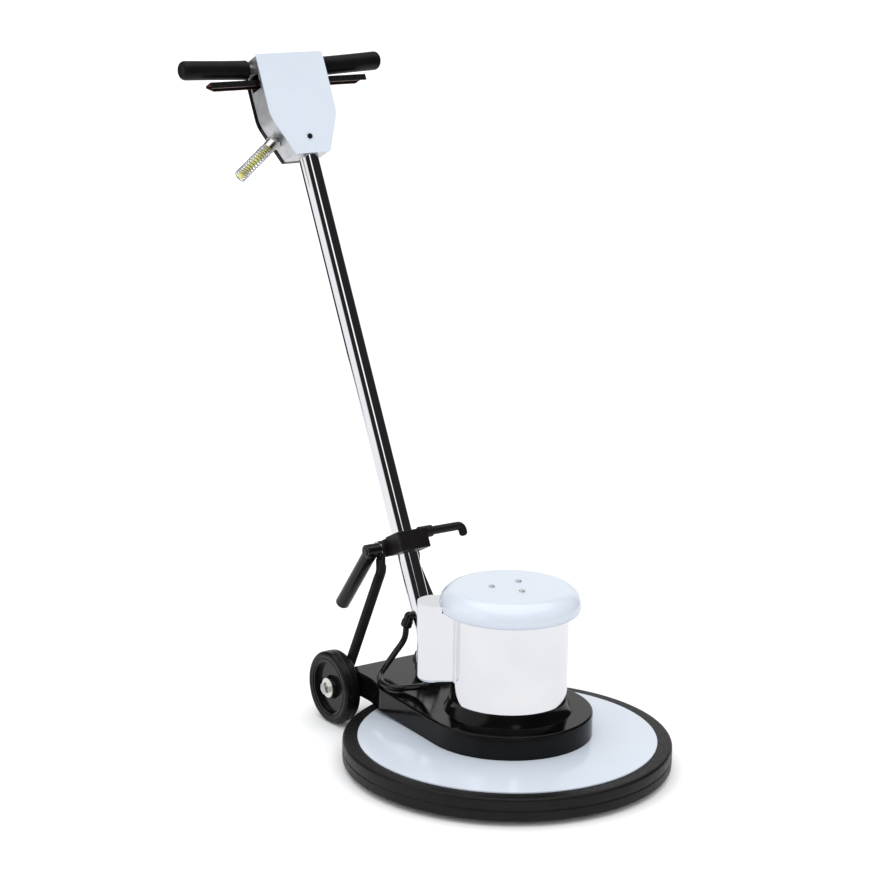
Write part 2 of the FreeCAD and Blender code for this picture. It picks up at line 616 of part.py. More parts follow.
def build_wheels():
    inner_x = WHEEL_OUTER_X - WHEEL_WIDTH
    tyre = turned_on_axle([(TYRE_INNER_R, inner_x), (WHEEL_R, inner_x),
                           (WHEEL_R, WHEEL_OUTER_X), (TYRE_INNER_R, WHEEL_OUTER_X)])

    def tread_corner(edge):
        box = edge.BoundBox
        at_side = abs(box.XMin - inner_x) < 0.01 or abs(box.XMin - WHEEL_OUTER_X) < 0.01
        return at_side and box.XLength < 0.01 and box.ZLength > 2 * WHEEL_R - 1

    tyre = rounded(tyre, TREAD_CORNER_R, tread_corner)
    bore_r = AXLE_R + RUNNING
    dish_x = WHEEL_OUTER_X - DISH_DEPTH
    boss_x = WHEEL_OUTER_X - 3
    inner_side = [(bore_r, inner_x + 0.8), (20, inner_x + 0.8), (22, inner_x + 9),
                  (44, inner_x + 9), (46, inner_x + 2), (TYRE_INNER_R, inner_x + 2)]
    outer_side = [(TYRE_INNER_R, WHEEL_OUTER_X - 2), (DISH_R, WHEEL_OUTER_X - 3), (DISH_R - 2, dish_x),
                  (22, dish_x), (WASHER_R + 1, boss_x), (bore_r, boss_x)]
    hub = turned_on_axle(inner_side + outer_side)
    parts["left_tyre"] = tyre
    parts["left_wheel_hub"] = hub
    parts["right_tyre"] = mirror_x(tyre)
    parts["right_wheel_hub"] = mirror_x(hub)

    axle_end = WHEEL_OUTER_X + 9
    centre = Vector(0, AXLE_Y, WHEEL_R)
    parts["axle"] = cylinder(AXLE_R, centre - X * axle_end, centre + X * axle_end)

    def sleeve(outer_r, low_x, high_x):
        return tube(outer_r, AXLE_R, centre + X * low_x, centre + X * high_x)

    nut_x = WHEEL_OUTER_X - 0.3
    nut = hexagon_prism(AXLE_NUT_FLATS, centre + X * nut_x, centre + X * (axle_end - 1.5))
    one_side = [sleeve(WASHER_R, WHEEL_OUTER_X - 2.5, nut_x), sleeve(BUSH_R, EYE_HIGH_X + GAP, inner_x + 0.3),
                sleeve(BUSH_R, LUG_OUTER_X, EYE_LOW_X - GAP), nut.cut(parts["axle"])]
    parts["axle_fasteners"] = Part.makeCompound(one_side + [mirror_x(shape) for shape in one_side])


# ---- brace yoke ----------------------------------------------------------------------------------
BRACE_TOP_X = 37.0
BRACE_FOOT_X = 116.0
BRACE_STRAIGHT = 40.0      # upright part below the clamp pivot
BRACE_SPLAY_FOOT = 20.0    # height above the axle where the splayed part ends
BRACE_FOOT_R = 14.0
EYE_R = 15.0               # flat eye at the clamp pin
EYE_THICK = 8.0
FLAT_HALF = 8.0
FLAT_LENGTH = 31.0
PIN_R = 5.0
PIN_SLOT_NEAR = -1.2       # travel of the clamp pin in the eye, from its resting place
PIN_SLOT_FAR = 6.0
PIN_SLOT_TILT = -23.0      # degrees, direction of that travel
PIN_SLOT_SIDE = 0.45       # clearance across the slot


def brace_length():
    pivot = handle_point(0, CLAMP_PIVOT_BACK, CLAMP_PIVOT_ALONG)
    return math.hypot(pivot.y - AXLE_Y, pivot.z - WHEEL_R)


def brace_lean():
    """Angle of the braces behind upright, in degrees."""
    pivot = handle_point(0, CLAMP_PIVOT_BACK, CLAMP_PIVOT_ALONG)
    return math.degrees(math.atan2(pivot.y - AXLE_Y, pivot.z - WHEEL_R))


def build_braces():
    """Two splayed round bars from the axle up to the clamp pin, each with a flat eye at its ends."""
    top = brace_length()
    bar = bent_rod([Vector(BRACE_TOP_X, 0, top - 12), Vector(BRACE_TOP_X, 0, top - BRACE_STRAIGHT),
                    Vector(BRACE_FOOT_X, 0, BRACE_SPLAY_FOOT), Vector(BRACE_FOOT_X, 0, 8)], BRACE_R, 22.0)
    eye_low_x = BRACE_TOP_X - EYE_THICK / 2
    eye_high_x = BRACE_TOP_X + EYE_THICK / 2
    eye = slot_prism(EYE_R, eye_low_x, eye_high_x)
    eye.translate(Z * top)
    foot = cylinder(BRACE_FOOT_R, X * EYE_LOW_X, X * EYE_HIGH_X)
    brace = fuse(bar, eye, foot)
    slot = slot_prism(PIN_R + PIN_SLOT_SIDE, eye_low_x - 10, eye_high_x + 10)
    slot.translate(Z * top)
    inner_face = block((0, -30, top - 30), (eye_low_x, 30, top + 30))
    outer_face = block((eye_high_x, -30, top - EYE_R - 3.5), (eye_high_x + 30, 30, top + 30))
    bore = cylinder(AXLE_R + RUNNING, CENTRE, X * WHEEL_OUTER_X)
    foot_top = BRACE_FOOT_R + 2.5
    foot_outside = block((EYE_HIGH_X, -30, -30), (EYE_HIGH_X + 30, 30, foot_top))
    foot_inside = block((0, -30, -30), (EYE_LOW_X, 30, foot_top))
    # the bar is pressed flat on both sides below the eye
    flat_low = top - EYE_R - FLAT_LENGTH
    flat_inside = block((0, -30, flat_low), (BRACE_TOP_X - FLAT_HALF, 30, top))
    flat_outside = block((BRACE_TOP_X + FLAT_HALF, -30, flat_low), (BRACE_TOP_X + 30, 30, top))
    for waste in (slot, inner_face, outer_face, bore, foot_outside, foot_inside, flat_inside, flat_outside):
        brace = brace.cut(waste)
    brace.rotate(CENTRE, X, -brace_lean())
    brace.translate(Vector(0, AXLE_Y, WHEEL_R))
    parts["handle_braces"] = Part.makeCompound([brace, mirror_x(brace)])


def slot_prism(radius, low_x, high_x):
    """Round-ended slot across X, from the pin's resting place to the far end of its travel."""
    tilt = math.radians(PIN_SLOT_TILT)
    reach = Vector(0, math.cos(tilt), math.sin(tilt))
    near = reach * PIN_SLOT_NEAR
    far = reach * PIN_SLOT_FAR
    side = reach.cross(X).normalize() * radius
    slab = Part.Face(Part.makePolygon([near + side, far + side, far - side, near - side, near + side]))
    slab = slab.extrude(X * (high_x - low_x))
    ends = [cylinder(radius, end, end + X * (high_x - low_x)) for end in (near, far)]
    shape = fuse(slab, *ends)
    shape.translate(X * low_x)
    return shape


# ---- capacitor box and power cable ---------------------------------------------------------------
BOX_DIRECTION = 145.3      # degrees from +X, where the box stands on the motor
BOX_HALF_WIDTH = 35.0
BOX_REACH = 159.5          # from the motor axis to its nose
BOX_LOW_Z = 153.0
BOX_HIGH_Z = 294.0
BOX_WALL = 1.5
BOX_RIM_R = 9.0
FLANGE_THICK = 1.7         # strip that holds the box to the motor shell
FLANGE_SIDE = 9.0
INLET_REACH = MOTOR_R + 24.0
CAN_REACH = MOTOR_R + 27.0
CAPACITOR_R = 24.0
CABLE_R = 5.6
CABLE_HOLE_R = 7.2
GLAND_ELBOW = Vector(-27.0, 2.0, 79.0)     # in the upright frame of the handle
GLAND_WAY = Vector(-0.3, 0.1, -0.95)
GLAND_LENGTH = 21.0
GLAND_NUT_R = 10.4
GLAND_BORE_R = 6.3


def box_solid(inset):
    """D-shaped column standing out from the motor along +X, with its lower rim rounded."""
    half = BOX_HALF_WIDTH - inset
    nose = BOX_REACH - inset
    centre = nose - half
    low = Vector(MOTOR_R - 6, -half, BOX_LOW_Z + inset)
    corners = [low, Vector(centre, -half, low.z), Vector(centre, half, low.z), Vector(low.x, half, low.z)]
    outline = Part.Wire([
        Part.makeLine(corners[0], corners[1]),
        Part.Arc(corners[1], Vector(nose, 0, low.z), corners[2]).toShape(),
        Part.makeLine(corners[2], corners[3]),
        Part.makeLine(corners[3], corners[0])])
    solid = Part.Face(outline).extrude(Z * (BOX_HIGH_Z - BOX_LOW_Z - 2 * inset))
    return rounded(solid, BOX_RIM_R - inset,
                   lambda edge: edge_height(edge, low.z) and edge.BoundBox.XMax > MOTOR_R)


def build_capacitor():
    shell = box_solid(0).cut(box_solid(BOX_WALL))
    flange = ring(MOTOR_R + FLANGE_THICK, MOTOR_R, BOX_LOW_Z + 8, CAP_LOW_Z - 3)
    side = BOX_HALF_WIDTH + FLANGE_SIDE
    keep = block((MOTOR_R / 2, -side, BOX_LOW_Z), (BOX_REACH, side, BOX_HIGH_Z))
    box = fuse(shell, flange.common(keep))
    box = box.cut(cylinder(MOTOR_R, CENTRE, Z * CAP_HIGH_Z))
    box = box.cut(cylinder(CAP_R + 0.3, Z * (CAP_LOW_Z - 0.3), Z * CAP_HIGH_Z))
    inlet = Vector(INLET_REACH, 0, BOX_LOW_Z)
    box = box.cut(cylinder(CABLE_HOLE_R, inlet - Z * 5, inlet + Z * 5))
    box.rotate(CENTRE, Z, BOX_DIRECTION)
    parts["capacitor_cover"] = box
    can_foot = Vector(CAN_REACH, 0, BOX_LOW_Z + 22)
    can_top = Vector(CAN_REACH, 0, CAP_LOW_Z - 16)
    terminals = [cylinder(3.0, can_top + Y * place, can_top + Y * place + Z * 8) for place in (-8, 8)]
    can = fuse(cylinder(CAPACITOR_R, can_foot, can_top), *terminals)
    can.rotate(CENTRE, Z, BOX_DIRECTION)
    parts["capacitor"] = can


def gland_place(distance):
    """Point on the tube gland's axis, at a distance from its elbow."""
    elbow = handle_point(GLAND_ELBOW.x, GLAND_ELBOW.y, GLAND_ELBOW.z)
    return elbow + Vector(GLAND_WAY).normalize() * distance


def build_power_cable():
    """Cable from the gland on the tube, looping over the deck and up into the capacitor box."""
    direction = math.radians(BOX_DIRECTION)
    inlet = Vector(INLET_REACH * math.cos(direction), INLET_REACH * math.sin(direction), BOX_LOW_Z)
    deck = FRAME_TOP_Z + CABLE_R + 1.5
    mouth = gland_place(GLAND_LENGTH - 5)
    down_from_tube = [mouth, Vector(-38, 268, 157), Vector(-62, 264, 134), Vector(-84, 256, 119)]
    over_deck = [Vector(-108, 239, deck + 1), Vector(-126, 209, deck), Vector(-131, 183, deck),
                 Vector(-125, 166, deck), Vector(-108, 156, deck + 1)]
    up_to_box = [Vector(-97, 130, deck + 9), Vector(-100, 92, deck + 27), inlet - Z * 1, inlet + Z * 3]
    curve = Part.BSplineCurve()
    curve.interpolate(down_from_tube + over_deck + up_to_box)
    path = Part.Wire(curve.toShape())
    start_way = curve.tangent(curve.FirstParameter)[0]
    section = Part.Wire(Part.makeCircle(CABLE_R, mouth, start_way))
    parts["power_cable"] = path.makePipeShell([section], True, True)


def build_tube_gland():
    """Elbow gland on the near side of the tube, with a domed nut that points down."""
    stub = lean_handle(cylinder(8.0, Vector(0, GLAND_ELBOW.y, GLAND_ELBOW.z), GLAND_ELBOW))
    elbow = Part.makeSphere(9.0, gland_place(0))
    neck = cylinder(9.0, gland_place(0), gland_place(8))
    nut = cylinder(GLAND_NUT_R, gland_place(7), gland_place(GLAND_LENGTH))
    nut = rounded(nut, 4.0, lambda edge: edge_round(edge, gland_place(GLAND_LENGTH)))
    nut = rounded(nut, 1.5, lambda edge: edge_round(edge, gland_place(7)))
    gland = fuse(stub, elbow, neck, nut)
    gland = gland.cut(lean_handle(cylinder(TUBE_R, CENTRE, Z * CLAMP_LOW)))
    parts["tube_gland"] = gland.cut(cylinder(GLAND_BORE_R, gland_place(12), gland_place(GLAND_LENGTH + 5)))


# ---- handle tube and its foot --------------------------------------------------------------------
TUBE_LOW = 24.0
FOOT_EYE_R = 15.0
NECK_LOW = 10.0
PLUG_TOP = 62.0


def build_handle_tube():
    pipe = tube(TUBE_R, TUBE_R - TUBE_WALL, Z * TUBE_LOW, Z * TUBE_TOP)
    pipe = pipe.cut(head_screw_shank())
    parts["handle_tube"] = lean_handle(pipe)
    half = EAR_INNER_X - 0.5
    eye = cylinder(FOOT_EYE_R, X * -half, X * half)
    plug = cylinder(TUBE_R - TUBE_WALL, CENTRE, Z * PLUG_TOP)
    neck = cylinder(TUBE_R, Z * NECK_LOW, Z * TUBE_LOW)
    bore = cylinder(PIVOT_BOLT_R + RUNNING, X * -EAR_OUTER_X, X * EAR_OUTER_X)
    parts["handle_foot"] = lean_handle(fuse(eye, plug, neck).cut(bore))


# ---- handle head ---------------------------------------------------------------------------------
HEAD_HALF_WIDTH = 71.5
HEAD_FOOT_HALF_WIDTH = 37.0
HEAD_TOP = 1151.2
HEAD_SHOULDER = 1029.7
HEAD_LOW = 953.7
HEAD_CORNER_R = 4.0
HEAD_SHOULDER_R = 70.0
PLATE_FRONT = -22.0        # minus is in front of the tube axis
PLATE_THICK = 2.5
HEAD_SCREW_ALONG = 985.7
CASTING_BACK = 26.0
COVER_BACK = 39.0
CASTING_WALL = 4.0
GRIP_BACK = 14.0
GRIP_CENTRE_ALONG = 1130.0
GRIP_RISE = 2.5            # degrees, each side rises outward
GRIP_BAR_R = 11.0
GRIP_R = 17.9
GRIP_TIP_BEND = 9.5
GRIP_ROOT_X = 78.0
GRIP_TIP_X = 214.5
LEVER_PIN_BACK = -11.0
LEVER_PIN_ALONG = 1098.0
LEVER_PIN_R = 4.0
LEVER_LOW = 1096.5
LEVER_HIGH = 1108.0
LEVER_FRONT = -2.0
LEVER_BACK = 18.0
LEVER_TIP_X = 168.0
LEVER_WALL = 2.5
ARM_X = 22.0               # inner faces of the lever's two arms
ARM_THICK = 4.0
PLUNGER_ALONG = 1079.0
PLUNGER_R = 4.0


def head_plan(inset, back):
    """Shield outline of the head, as a face square to the tube's depth at a place behind its axis."""
    half = HEAD_HALF_WIDTH - inset
    foot_half = HEAD_FOOT_HALF_WIDTH - inset * 0.6
    right = [Vector(foot_half, back, HEAD_LOW + inset), Vector(half, back, HEAD_SHOULDER + inset * 0.4),
             Vector(half, back, HEAD_TOP - inset)]
    left = [Vector(-point.x, back, point.z) for point in right[::-1]]
    corner_r = max(HEAD_CORNER_R - inset, 1.0)
    shoulder_r = HEAD_SHOULDER_R - inset
    bends = [corner_r, shoulder_r, corner_r, corner_r, shoulder_r, corner_r]
    return Part.Face(rounded_outline(right + left, bends))


def grip_axis_point(x):
    return Vector(x, GRIP_BACK, GRIP_CENTRE_ALONG + abs(x) * math.tan(math.radians(GRIP_RISE)))


def head_screw_shank():
    """Shank of the screw that holds the front plate to the tube, in the upright frame."""
    place = Vector(0, PLATE_FRONT, HEAD_SCREW_ALONG)
    return cylinder(3.0, place, place + Y * (PLATE_THICK + TUBE_WALL + 1))


def build_head():
    screw_shank = head_screw_shank()
    plate = head_plan(0, PLATE_FRONT).extrude(Y * PLATE_THICK)
    parts["head_plate"] = lean_handle(plate.cut(screw_shank))
    screw_place = Vector(0, PLATE_FRONT, HEAD_SCREW_ALONG)
    head = cylinder(5.0, screw_place - Y * 2.4, screw_place)
    drive = hexagon_prism(3.0, screw_place - Y * 4, screw_place - Y)
    parts["head_screw"] = lean_handle(fuse(screw_shank, head).cut(drive))

    front = PLATE_FRONT + PLATE_THICK
    depth = CASTING_BACK - front
    outer = head_plan(1.0, front).extrude(Y * depth)
    hollow = head_plan(1.0 + CASTING_WALL, front - 1).extrude(Y * (depth + 2))
    socket = cylinder(TUBE_R + 5, Z * (HEAD_LOW + 1), Z * (TUBE_TOP - 4))
    web = block((-HEAD_HALF_WIDTH + 4, front + 2, TUBE_TOP + 6),
                (HEAD_HALF_WIDTH - 4, CASTING_BACK - 2, TUBE_TOP + 10))
    before_plate = block((-HEAD_HALF_WIDTH, front - 20, HEAD_LOW), (HEAD_HALF_WIDTH, front, HEAD_TOP))
    casting = fuse(outer.cut(hollow), socket.cut(before_plate), web)
    casting = casting.cut(cylinder(TUBE_R, CENTRE, Z * TUBE_TOP))
    lever_window = block((-100, LEVER_FRONT - 9, LEVER_LOW - 7), (100, LEVER_BACK + 4, LEVER_HIGH + 10))
    pin_place = Vector(0, LEVER_PIN_BACK, LEVER_PIN_ALONG)
    pin_hole = cylinder(LEVER_PIN_R, pin_place - X * 100, pin_place + X * 100)
    exit_root, exit_way = cord_exit()
    gland_hole = cylinder(GLAND_THREAD_R, exit_root - exit_way * 14, exit_root + exit_way * 6)
    bar_holes = [cylinder(GRIP_BAR_R, grip_axis_point(0), grip_axis_point(x)) for x in (-100, 100)]
    for waste in [lever_window, pin_hole, gland_hole, screw_shank] + bar_holes:
        casting = casting.cut(waste)
    parts["head_casting"] = lean_handle(casting)

    cover_depth = COVER_BACK - CASTING_BACK
    cover = head_plan(0.6, CASTING_BACK).extrude(Y * cover_depth)
    cover = rounded(cover, 2.5, lambda edge: abs(edge.BoundBox.YMin - COVER_BACK) < 0.01)
    hollow = head_plan(0.6 + CASTING_WALL, CASTING_BACK - 1).extrude(Y * (cover_depth - 2))
    parts["head_rear_cover"] = lean_handle(cover.cut(hollow).cut(lever_window))


def build_grips():
    bars = []
    grips = []
    for side in (-1, 1):
        root = grip_axis_point(side * GRIP_ROOT_X)
        tip = grip_axis_point(side * GRIP_TIP_X)
        way = (tip - root).normalize()
        bar_end = tip - way * 6
        bars.append(cylinder(GRIP_BAR_R, grip_axis_point(0), bar_end))
        grip = rounded(cylinder(GRIP_R, root, tip), GRIP_TIP_BEND, lambda edge: edge_round(edge, tip))
        grip = rounded(grip, 2.0, lambda edge: edge_round(edge, root))
        grips.append(grip.cut(cylinder(GRIP_BAR_R, root - way, bar_end)))
    middle = Part.makeSphere(GRIP_BAR_R, grip_axis_point(0))
    parts["grip_bar"] = lean_handle(fuse(bars[0], bars[1], middle))
    parts["hand_grips"] = lean_handle(Part.makeCompound(grips))


def build_trigger():
    """Straight lever under both grips, on two short arms that swing about a pin in the head."""
    bar = block((-LEVER_TIP_X, LEVER_FRONT, LEVER_LOW), (LEVER_TIP_X, LEVER_BACK, LEVER_HIGH))
    bar = bar.cut(block((-LEVER_TIP_X - 1, LEVER_FRONT + LEVER_WALL, LEVER_LOW - 1),
                        (LEVER_TIP_X + 1, LEVER_BACK - LEVER_WALL, LEVER_HIGH - LEVER_WALL)))
    for side in (-1, 1):
        tip = Vector(side * LEVER_TIP_X, 0, LEVER_LOW)
        corner = Part.Face(Part.makePolygon([tip, tip - X * side * 14, tip + Z * 7, tip]))
        bar = bar.cut(corner.extrude(Y * (LEVER_BACK + 1)))
    pieces = []
    tail_low = PLUNGER_ALONG - 4
    for low_x in (-ARM_X - ARM_THICK, ARM_X):
        high_x = low_x + ARM_THICK
        pieces.append(block((low_x, LEVER_PIN_BACK, LEVER_LOW + 3),
                            (high_x, LEVER_BACK - 1, LEVER_HIGH - 1)))
        pieces.append(cylinder(7.0, Vector(low_x, LEVER_PIN_BACK, LEVER_PIN_ALONG),
                               Vector(high_x, LEVER_PIN_BACK, LEVER_PIN_ALONG)))
        pieces.append(block((low_x, LEVER_PIN_BACK - 3, tail_low),
                            (high_x, LEVER_PIN_BACK + 3, LEVER_PIN_ALONG)))
    bridge = block((-ARM_X - 2, LEVER_PIN_BACK - 3, tail_low),
                   (ARM_X + 2, LEVER_PIN_BACK, LEVER_PIN_ALONG - 5.5))
    lever = fuse(bar, bridge, *pieces)
    pin_place = Vector(0, LEVER_PIN_BACK, LEVER_PIN_ALONG)
    reach = X * (HEAD_HALF_WIDTH - 2)
    parts["trigger_lever"] = lean_handle(
        lever.cut(cylinder(LEVER_PIN_R + RUNNING, pin_place - reach, pin_place + reach)))
    parts["trigger_pin"] = lean_handle(cylinder(LEVER_PIN_R, pin_place - reach, pin_place + reach))
    face = LEVER_PIN_BACK + 8
    switch = block((-16, face, PLUNGER_ALONG - 14), (16, CASTING_BACK - 4, PLUNGER_ALONG + 10))
    axis = Vector(0, 0, PLUNGER_ALONG)
    bore = cylinder(PLUNGER_R + RUNNING, axis + Y * (face - 1), axis + Y * (face + 14))
    parts["switch_body"] = lean_handle(switch.cut(bore))
    plunger = cylinder(PLUNGER_R, axis + Y * (LEVER_PIN_BACK + 0.6), axis + Y * (face + 7))
    parts["switch_plunger"] = lean_handle(plunger)


# ---- mains cord at the head ----------------------------------------------------------------------
GLAND_R = 12.5
GLAND_THREAD_R = 9.0
SPRING_R = 12.0
SPRING_WIRE_R = 1.1
SPRING_TURNS = 14
SPRING_LENGTH = 80.0
SPRING_START = 27.5        # along the cord, from the wall of the head
SLEEVE_START = 9.0
CORD_R = 5.5


def cord_exit():
    """Where the cord leaves the sloping side of the head, and which way it points."""
    return Vector(-55.5, 10.0, 992.0), Vector(-0.82, 0.06, -0.57).normalize()


def build_cord():
    root, way = cord_exit()
    thread = cylinder(GLAND_THREAD_R, root - way * 12, root + way * 2)
    nut = hexagon_prism(2 * GLAND_R, root + way * 1.5, root + way * SLEEVE_START)
    sleeve_length = SPRING_START - 2 - SLEEVE_START
    sleeve = Part.makeCone(GLAND_R, SPRING_R - 0.5, sleeve_length, root + way * SLEEVE_START, way)
    bore = cylinder(CORD_R, root - way * 30, root + way * 40)
    parts["cord_gland"] = lean_handle(fuse(thread, nut, sleeve).cut(bore))
    cord_end = SPRING_START + SPRING_LENGTH + 2
    parts["mains_cord"] = lean_handle(cylinder(CORD_R, root - way * 20, root + way * cord_end))
    coil_r = SPRING_R - SPRING_WIRE_R
    helix = Part.makeHelix(SPRING_LENGTH / SPRING_TURNS, SPRING_LENGTH, coil_r)
    section = Part.Wire(Part.makeCircle(SPRING_WIRE_R, Vector(coil_r, 0, 0), Y))
    spring = Part.Wire(helix.Edges).makePipeShell([section], True, True)
    spring.Placement = Placement(root + way * SPRING_START, Rotation(Z, way))
    parts["cord_spring"] = lean_handle(spring)


# ---- clamp on the tube, its pin, lock lever and cord hook ----------------------------------------
CLAMP_LOW = 192.7
CLAMP_HIGH = 228.7
CLAMP_FRONT = -37.0
CLAMP_HALF_WIDTH = 32.0
CLAMP_LUG_HALF_WIDTH = 29.0
CLAMP_EDGE_R = 5.0
BARREL_R = 16.0
HOOK_BACK = -24.0
HOOK_ALONG = 222.0
HOOK_R = 7.9
HOOK_ROOT_X = 26.0
HOOK_TIP_X = 121.5
HOOK_DROP = 20.0
HOOK_BEND_R = 8.8
PIN_HEAD_X = 46.0
PIN_WASHER_R = 14.0
PIN_WASHER_LOW_X = -43.2
PIN_WASHER_HIGH_X = -41.7
LOCK_LEVER_X = -57.0
LOCK_LEVER_ANGLE = 37.7    # degrees, the lever hangs down and back
LOCK_LEVER_LENGTH = 160.0
LOCK_GRIP_R = 13.2
LOCK_EYE_R = 12.6
LOCK_EYE_OUTER_X = -70.4
LOCK_EYE_INNER_X = -43.7
LOCK_DOME = 1.5


def clamp_pin_point(x):
    return Vector(x, CLAMP_PIVOT_BACK, CLAMP_PIVOT_ALONG)


def build_clamp():
    body = block((-CLAMP_HALF_WIDTH, CLAMP_FRONT, CLAMP_LOW), (CLAMP_HALF_WIDTH, 8, CLAMP_HIGH))
    body = rounded(body, CLAMP_EDGE_R, lambda edge: edge.BoundBox.ZLength > CLAMP_HIGH - CLAMP_LOW - 1
                   and edge.BoundBox.YMax < 0)
    body = rounded(body, 1.5, lambda edge: edge.BoundBox.ZLength < 0.01)
    lug_low = clamp_pin_point(-CLAMP_LUG_HALF_WIDTH)
    lug_high = clamp_pin_point(CLAMP_LUG_HALF_WIDTH)
    barrel = cylinder(BARREL_R, lug_low, lug_high)
    cheek = block((-CLAMP_LUG_HALF_WIDTH, 0, CLAMP_LOW + 2.3),
                  (CLAMP_LUG_HALF_WIDTH, CLAMP_PIVOT_BACK, CLAMP_HIGH - 1.7))
    hook_root = Vector(HOOK_ROOT_X, HOOK_BACK, HOOK_ALONG)
    boss = cylinder(HOOK_R + 3, hook_root - X * 6, hook_root + X * 20)
    clamp = fuse(body, cheek, barrel, boss)
    slit = block((-1.0, CLAMP_FRONT + 12, 0), (1.0, 60, CLAMP_HIGH + 20))
    wastes = [cylinder(TUBE_R + RUNNING, CENTRE, Z * (CLAMP_HIGH + 20)), slit,
              cylinder(PIN_R, lug_low - X * 30, lug_high + X * 30),
              cylinder(HOOK_R, hook_root, hook_root + X * 54)]
    for waste in wastes:
        clamp = clamp.cut(waste)
    parts["clamp_block"] = lean_handle(clamp)

    bend = Vector(HOOK_TIP_X - HOOK_R, HOOK_BACK, HOOK_ALONG)
    hook = bent_rod([hook_root, bend, bend - Z * HOOK_DROP], HOOK_R, HOOK_BEND_R)
    hook = rounded(hook, HOOK_R - 1.5, lambda edge: edge_height(edge, HOOK_ALONG - HOOK_DROP))
    parts["cord_hook"] = lean_handle(hook)

    pin_head = clamp_pin_point(PIN_HEAD_X)
    pin = fuse(cylinder(PIN_R, clamp_pin_point(LOCK_EYE_OUTER_X + 2), pin_head),
               hexagon_prism(15.0, pin_head - X * 4, pin_head + X * 3))
    washer = tube(PIN_WASHER_R, PIN_R, clamp_pin_point(PIN_WASHER_LOW_X), clamp_pin_point(PIN_WASHER_HIGH_X))
    parts["clamp_pin"] = lean_handle(Part.makeCompound([pin, washer]))


def build_lock_lever():
    """Lever on the near end of the clamp pin; turning it tightens the clamp on the tube."""
    pivot = handle_point(0, CLAMP_PIVOT_BACK, CLAMP_PIVOT_ALONG)
    angle = math.radians(LOCK_LEVER_ANGLE)
    way = Vector(0, math.sin(angle), -math.cos(angle))
    root = pivot + X * LOCK_LEVER_X
    outer = pivot + X * LOCK_EYE_OUTER_X
    eye = rounded(cylinder(LOCK_EYE_R, outer, pivot + X * LOCK_EYE_INNER_X), 2.0,
                  lambda edge: edge_round(edge, outer))
    dome_top = outer - X * LOCK_DOME
    dome = rounded(cylinder(7.5, dome_top, outer), 1.2, lambda edge: edge_round(edge, dome_top))
    stem = cylinder(5.0, root, root + way * (LOCK_LEVER_LENGTH - 14))
    bore = cylinder(PIN_R + RUNNING, outer + X * 1.5, pivot)
    parts["lock_lever"] = fuse(eye, dome, stem).cut(bore)
    grip_top = root - way * 8
    grip_end = root + way * LOCK_LEVER_LENGTH
    grip = cylinder(LOCK_GRIP_R, grip_top, grip_end)
    grip = rounded(grip, 3.0, lambda edge: edge_round(edge, grip_end))
    grip = rounded(grip, 7.0, lambda edge: edge_round(edge, grip_top))
    parts["lock_lever_grip"] = grip.cut(stem).cut(cylinder(LOCK_EYE_R, outer - X * 5, pivot))


build_pad_drive()
build_gearbox()
build_motor_body()
build_stator()
build_rotor()
build_cap()
build_housing()
build_frame()
build_foot_bracket()
build_wheels()
build_braces()
build_capacitor()
build_power_cable()
build_tube_gland()
build_handle_tube()
build_head()
build_grips()
build_trigger()
build_cord()
build_clamp()
build_lock_lever()

os.makedirs("parts", exist_ok=True)
for name, shape in parts.items():
    shape.exportStep("parts/%s.step" % name)
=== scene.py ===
import json
import math

import bmesh
import bpy
from mathutils import Matrix, Vector, noise


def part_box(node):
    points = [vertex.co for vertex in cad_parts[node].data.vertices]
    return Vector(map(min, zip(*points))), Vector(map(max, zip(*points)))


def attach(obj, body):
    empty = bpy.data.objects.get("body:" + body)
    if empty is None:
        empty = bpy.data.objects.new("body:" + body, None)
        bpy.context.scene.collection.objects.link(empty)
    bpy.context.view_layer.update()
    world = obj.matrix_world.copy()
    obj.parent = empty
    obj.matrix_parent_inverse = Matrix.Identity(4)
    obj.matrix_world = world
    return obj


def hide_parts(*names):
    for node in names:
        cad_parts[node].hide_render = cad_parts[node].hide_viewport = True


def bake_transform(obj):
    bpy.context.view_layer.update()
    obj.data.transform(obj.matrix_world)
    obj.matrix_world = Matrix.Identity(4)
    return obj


# The looks of a rotary floor machine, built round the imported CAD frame. Metres, +Z up, front at -Y.

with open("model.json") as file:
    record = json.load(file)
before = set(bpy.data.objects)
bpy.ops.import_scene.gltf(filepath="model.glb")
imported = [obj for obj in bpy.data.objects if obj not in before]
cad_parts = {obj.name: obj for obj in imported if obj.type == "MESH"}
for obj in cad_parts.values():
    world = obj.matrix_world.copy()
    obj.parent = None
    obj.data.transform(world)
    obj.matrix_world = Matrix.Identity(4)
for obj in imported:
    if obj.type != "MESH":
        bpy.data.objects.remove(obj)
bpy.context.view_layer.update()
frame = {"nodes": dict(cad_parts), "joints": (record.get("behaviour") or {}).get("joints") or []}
nodes = frame["nodes"]
joints = {joint["name"]: joint for joint in frame["joints"]}

MM = 0.001
X = Vector((1, 0, 0))
Z = Vector((0, 0, 1))


# ---- places taken from the frame -------------------------------------------------------------------
def box_low(node):
    """Lowest corner of a CAD node's box, in metres."""
    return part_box(node)[0]


def box_high(node):
    """Highest corner of a CAD node's box, in metres."""
    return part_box(node)[1]


TUBE_WAY = Vector(joints["clamp_slide"]["axis"]).normalized()
HANDLE_FOOT = Vector(joints["handle_tilt"]["pos_m"])
AXLE = Vector(joints["brace_swing"]["pos_m"])
BACK_WAY = TUBE_WAY.cross(X).normalized()


def handle_point(x, back, along):
    """A point given across, behind and along the handle tube, from the pivot at its foot, in millimetres."""
    return HANDLE_FOOT + (X * x + BACK_WAY * back + TUBE_WAY * along) * MM


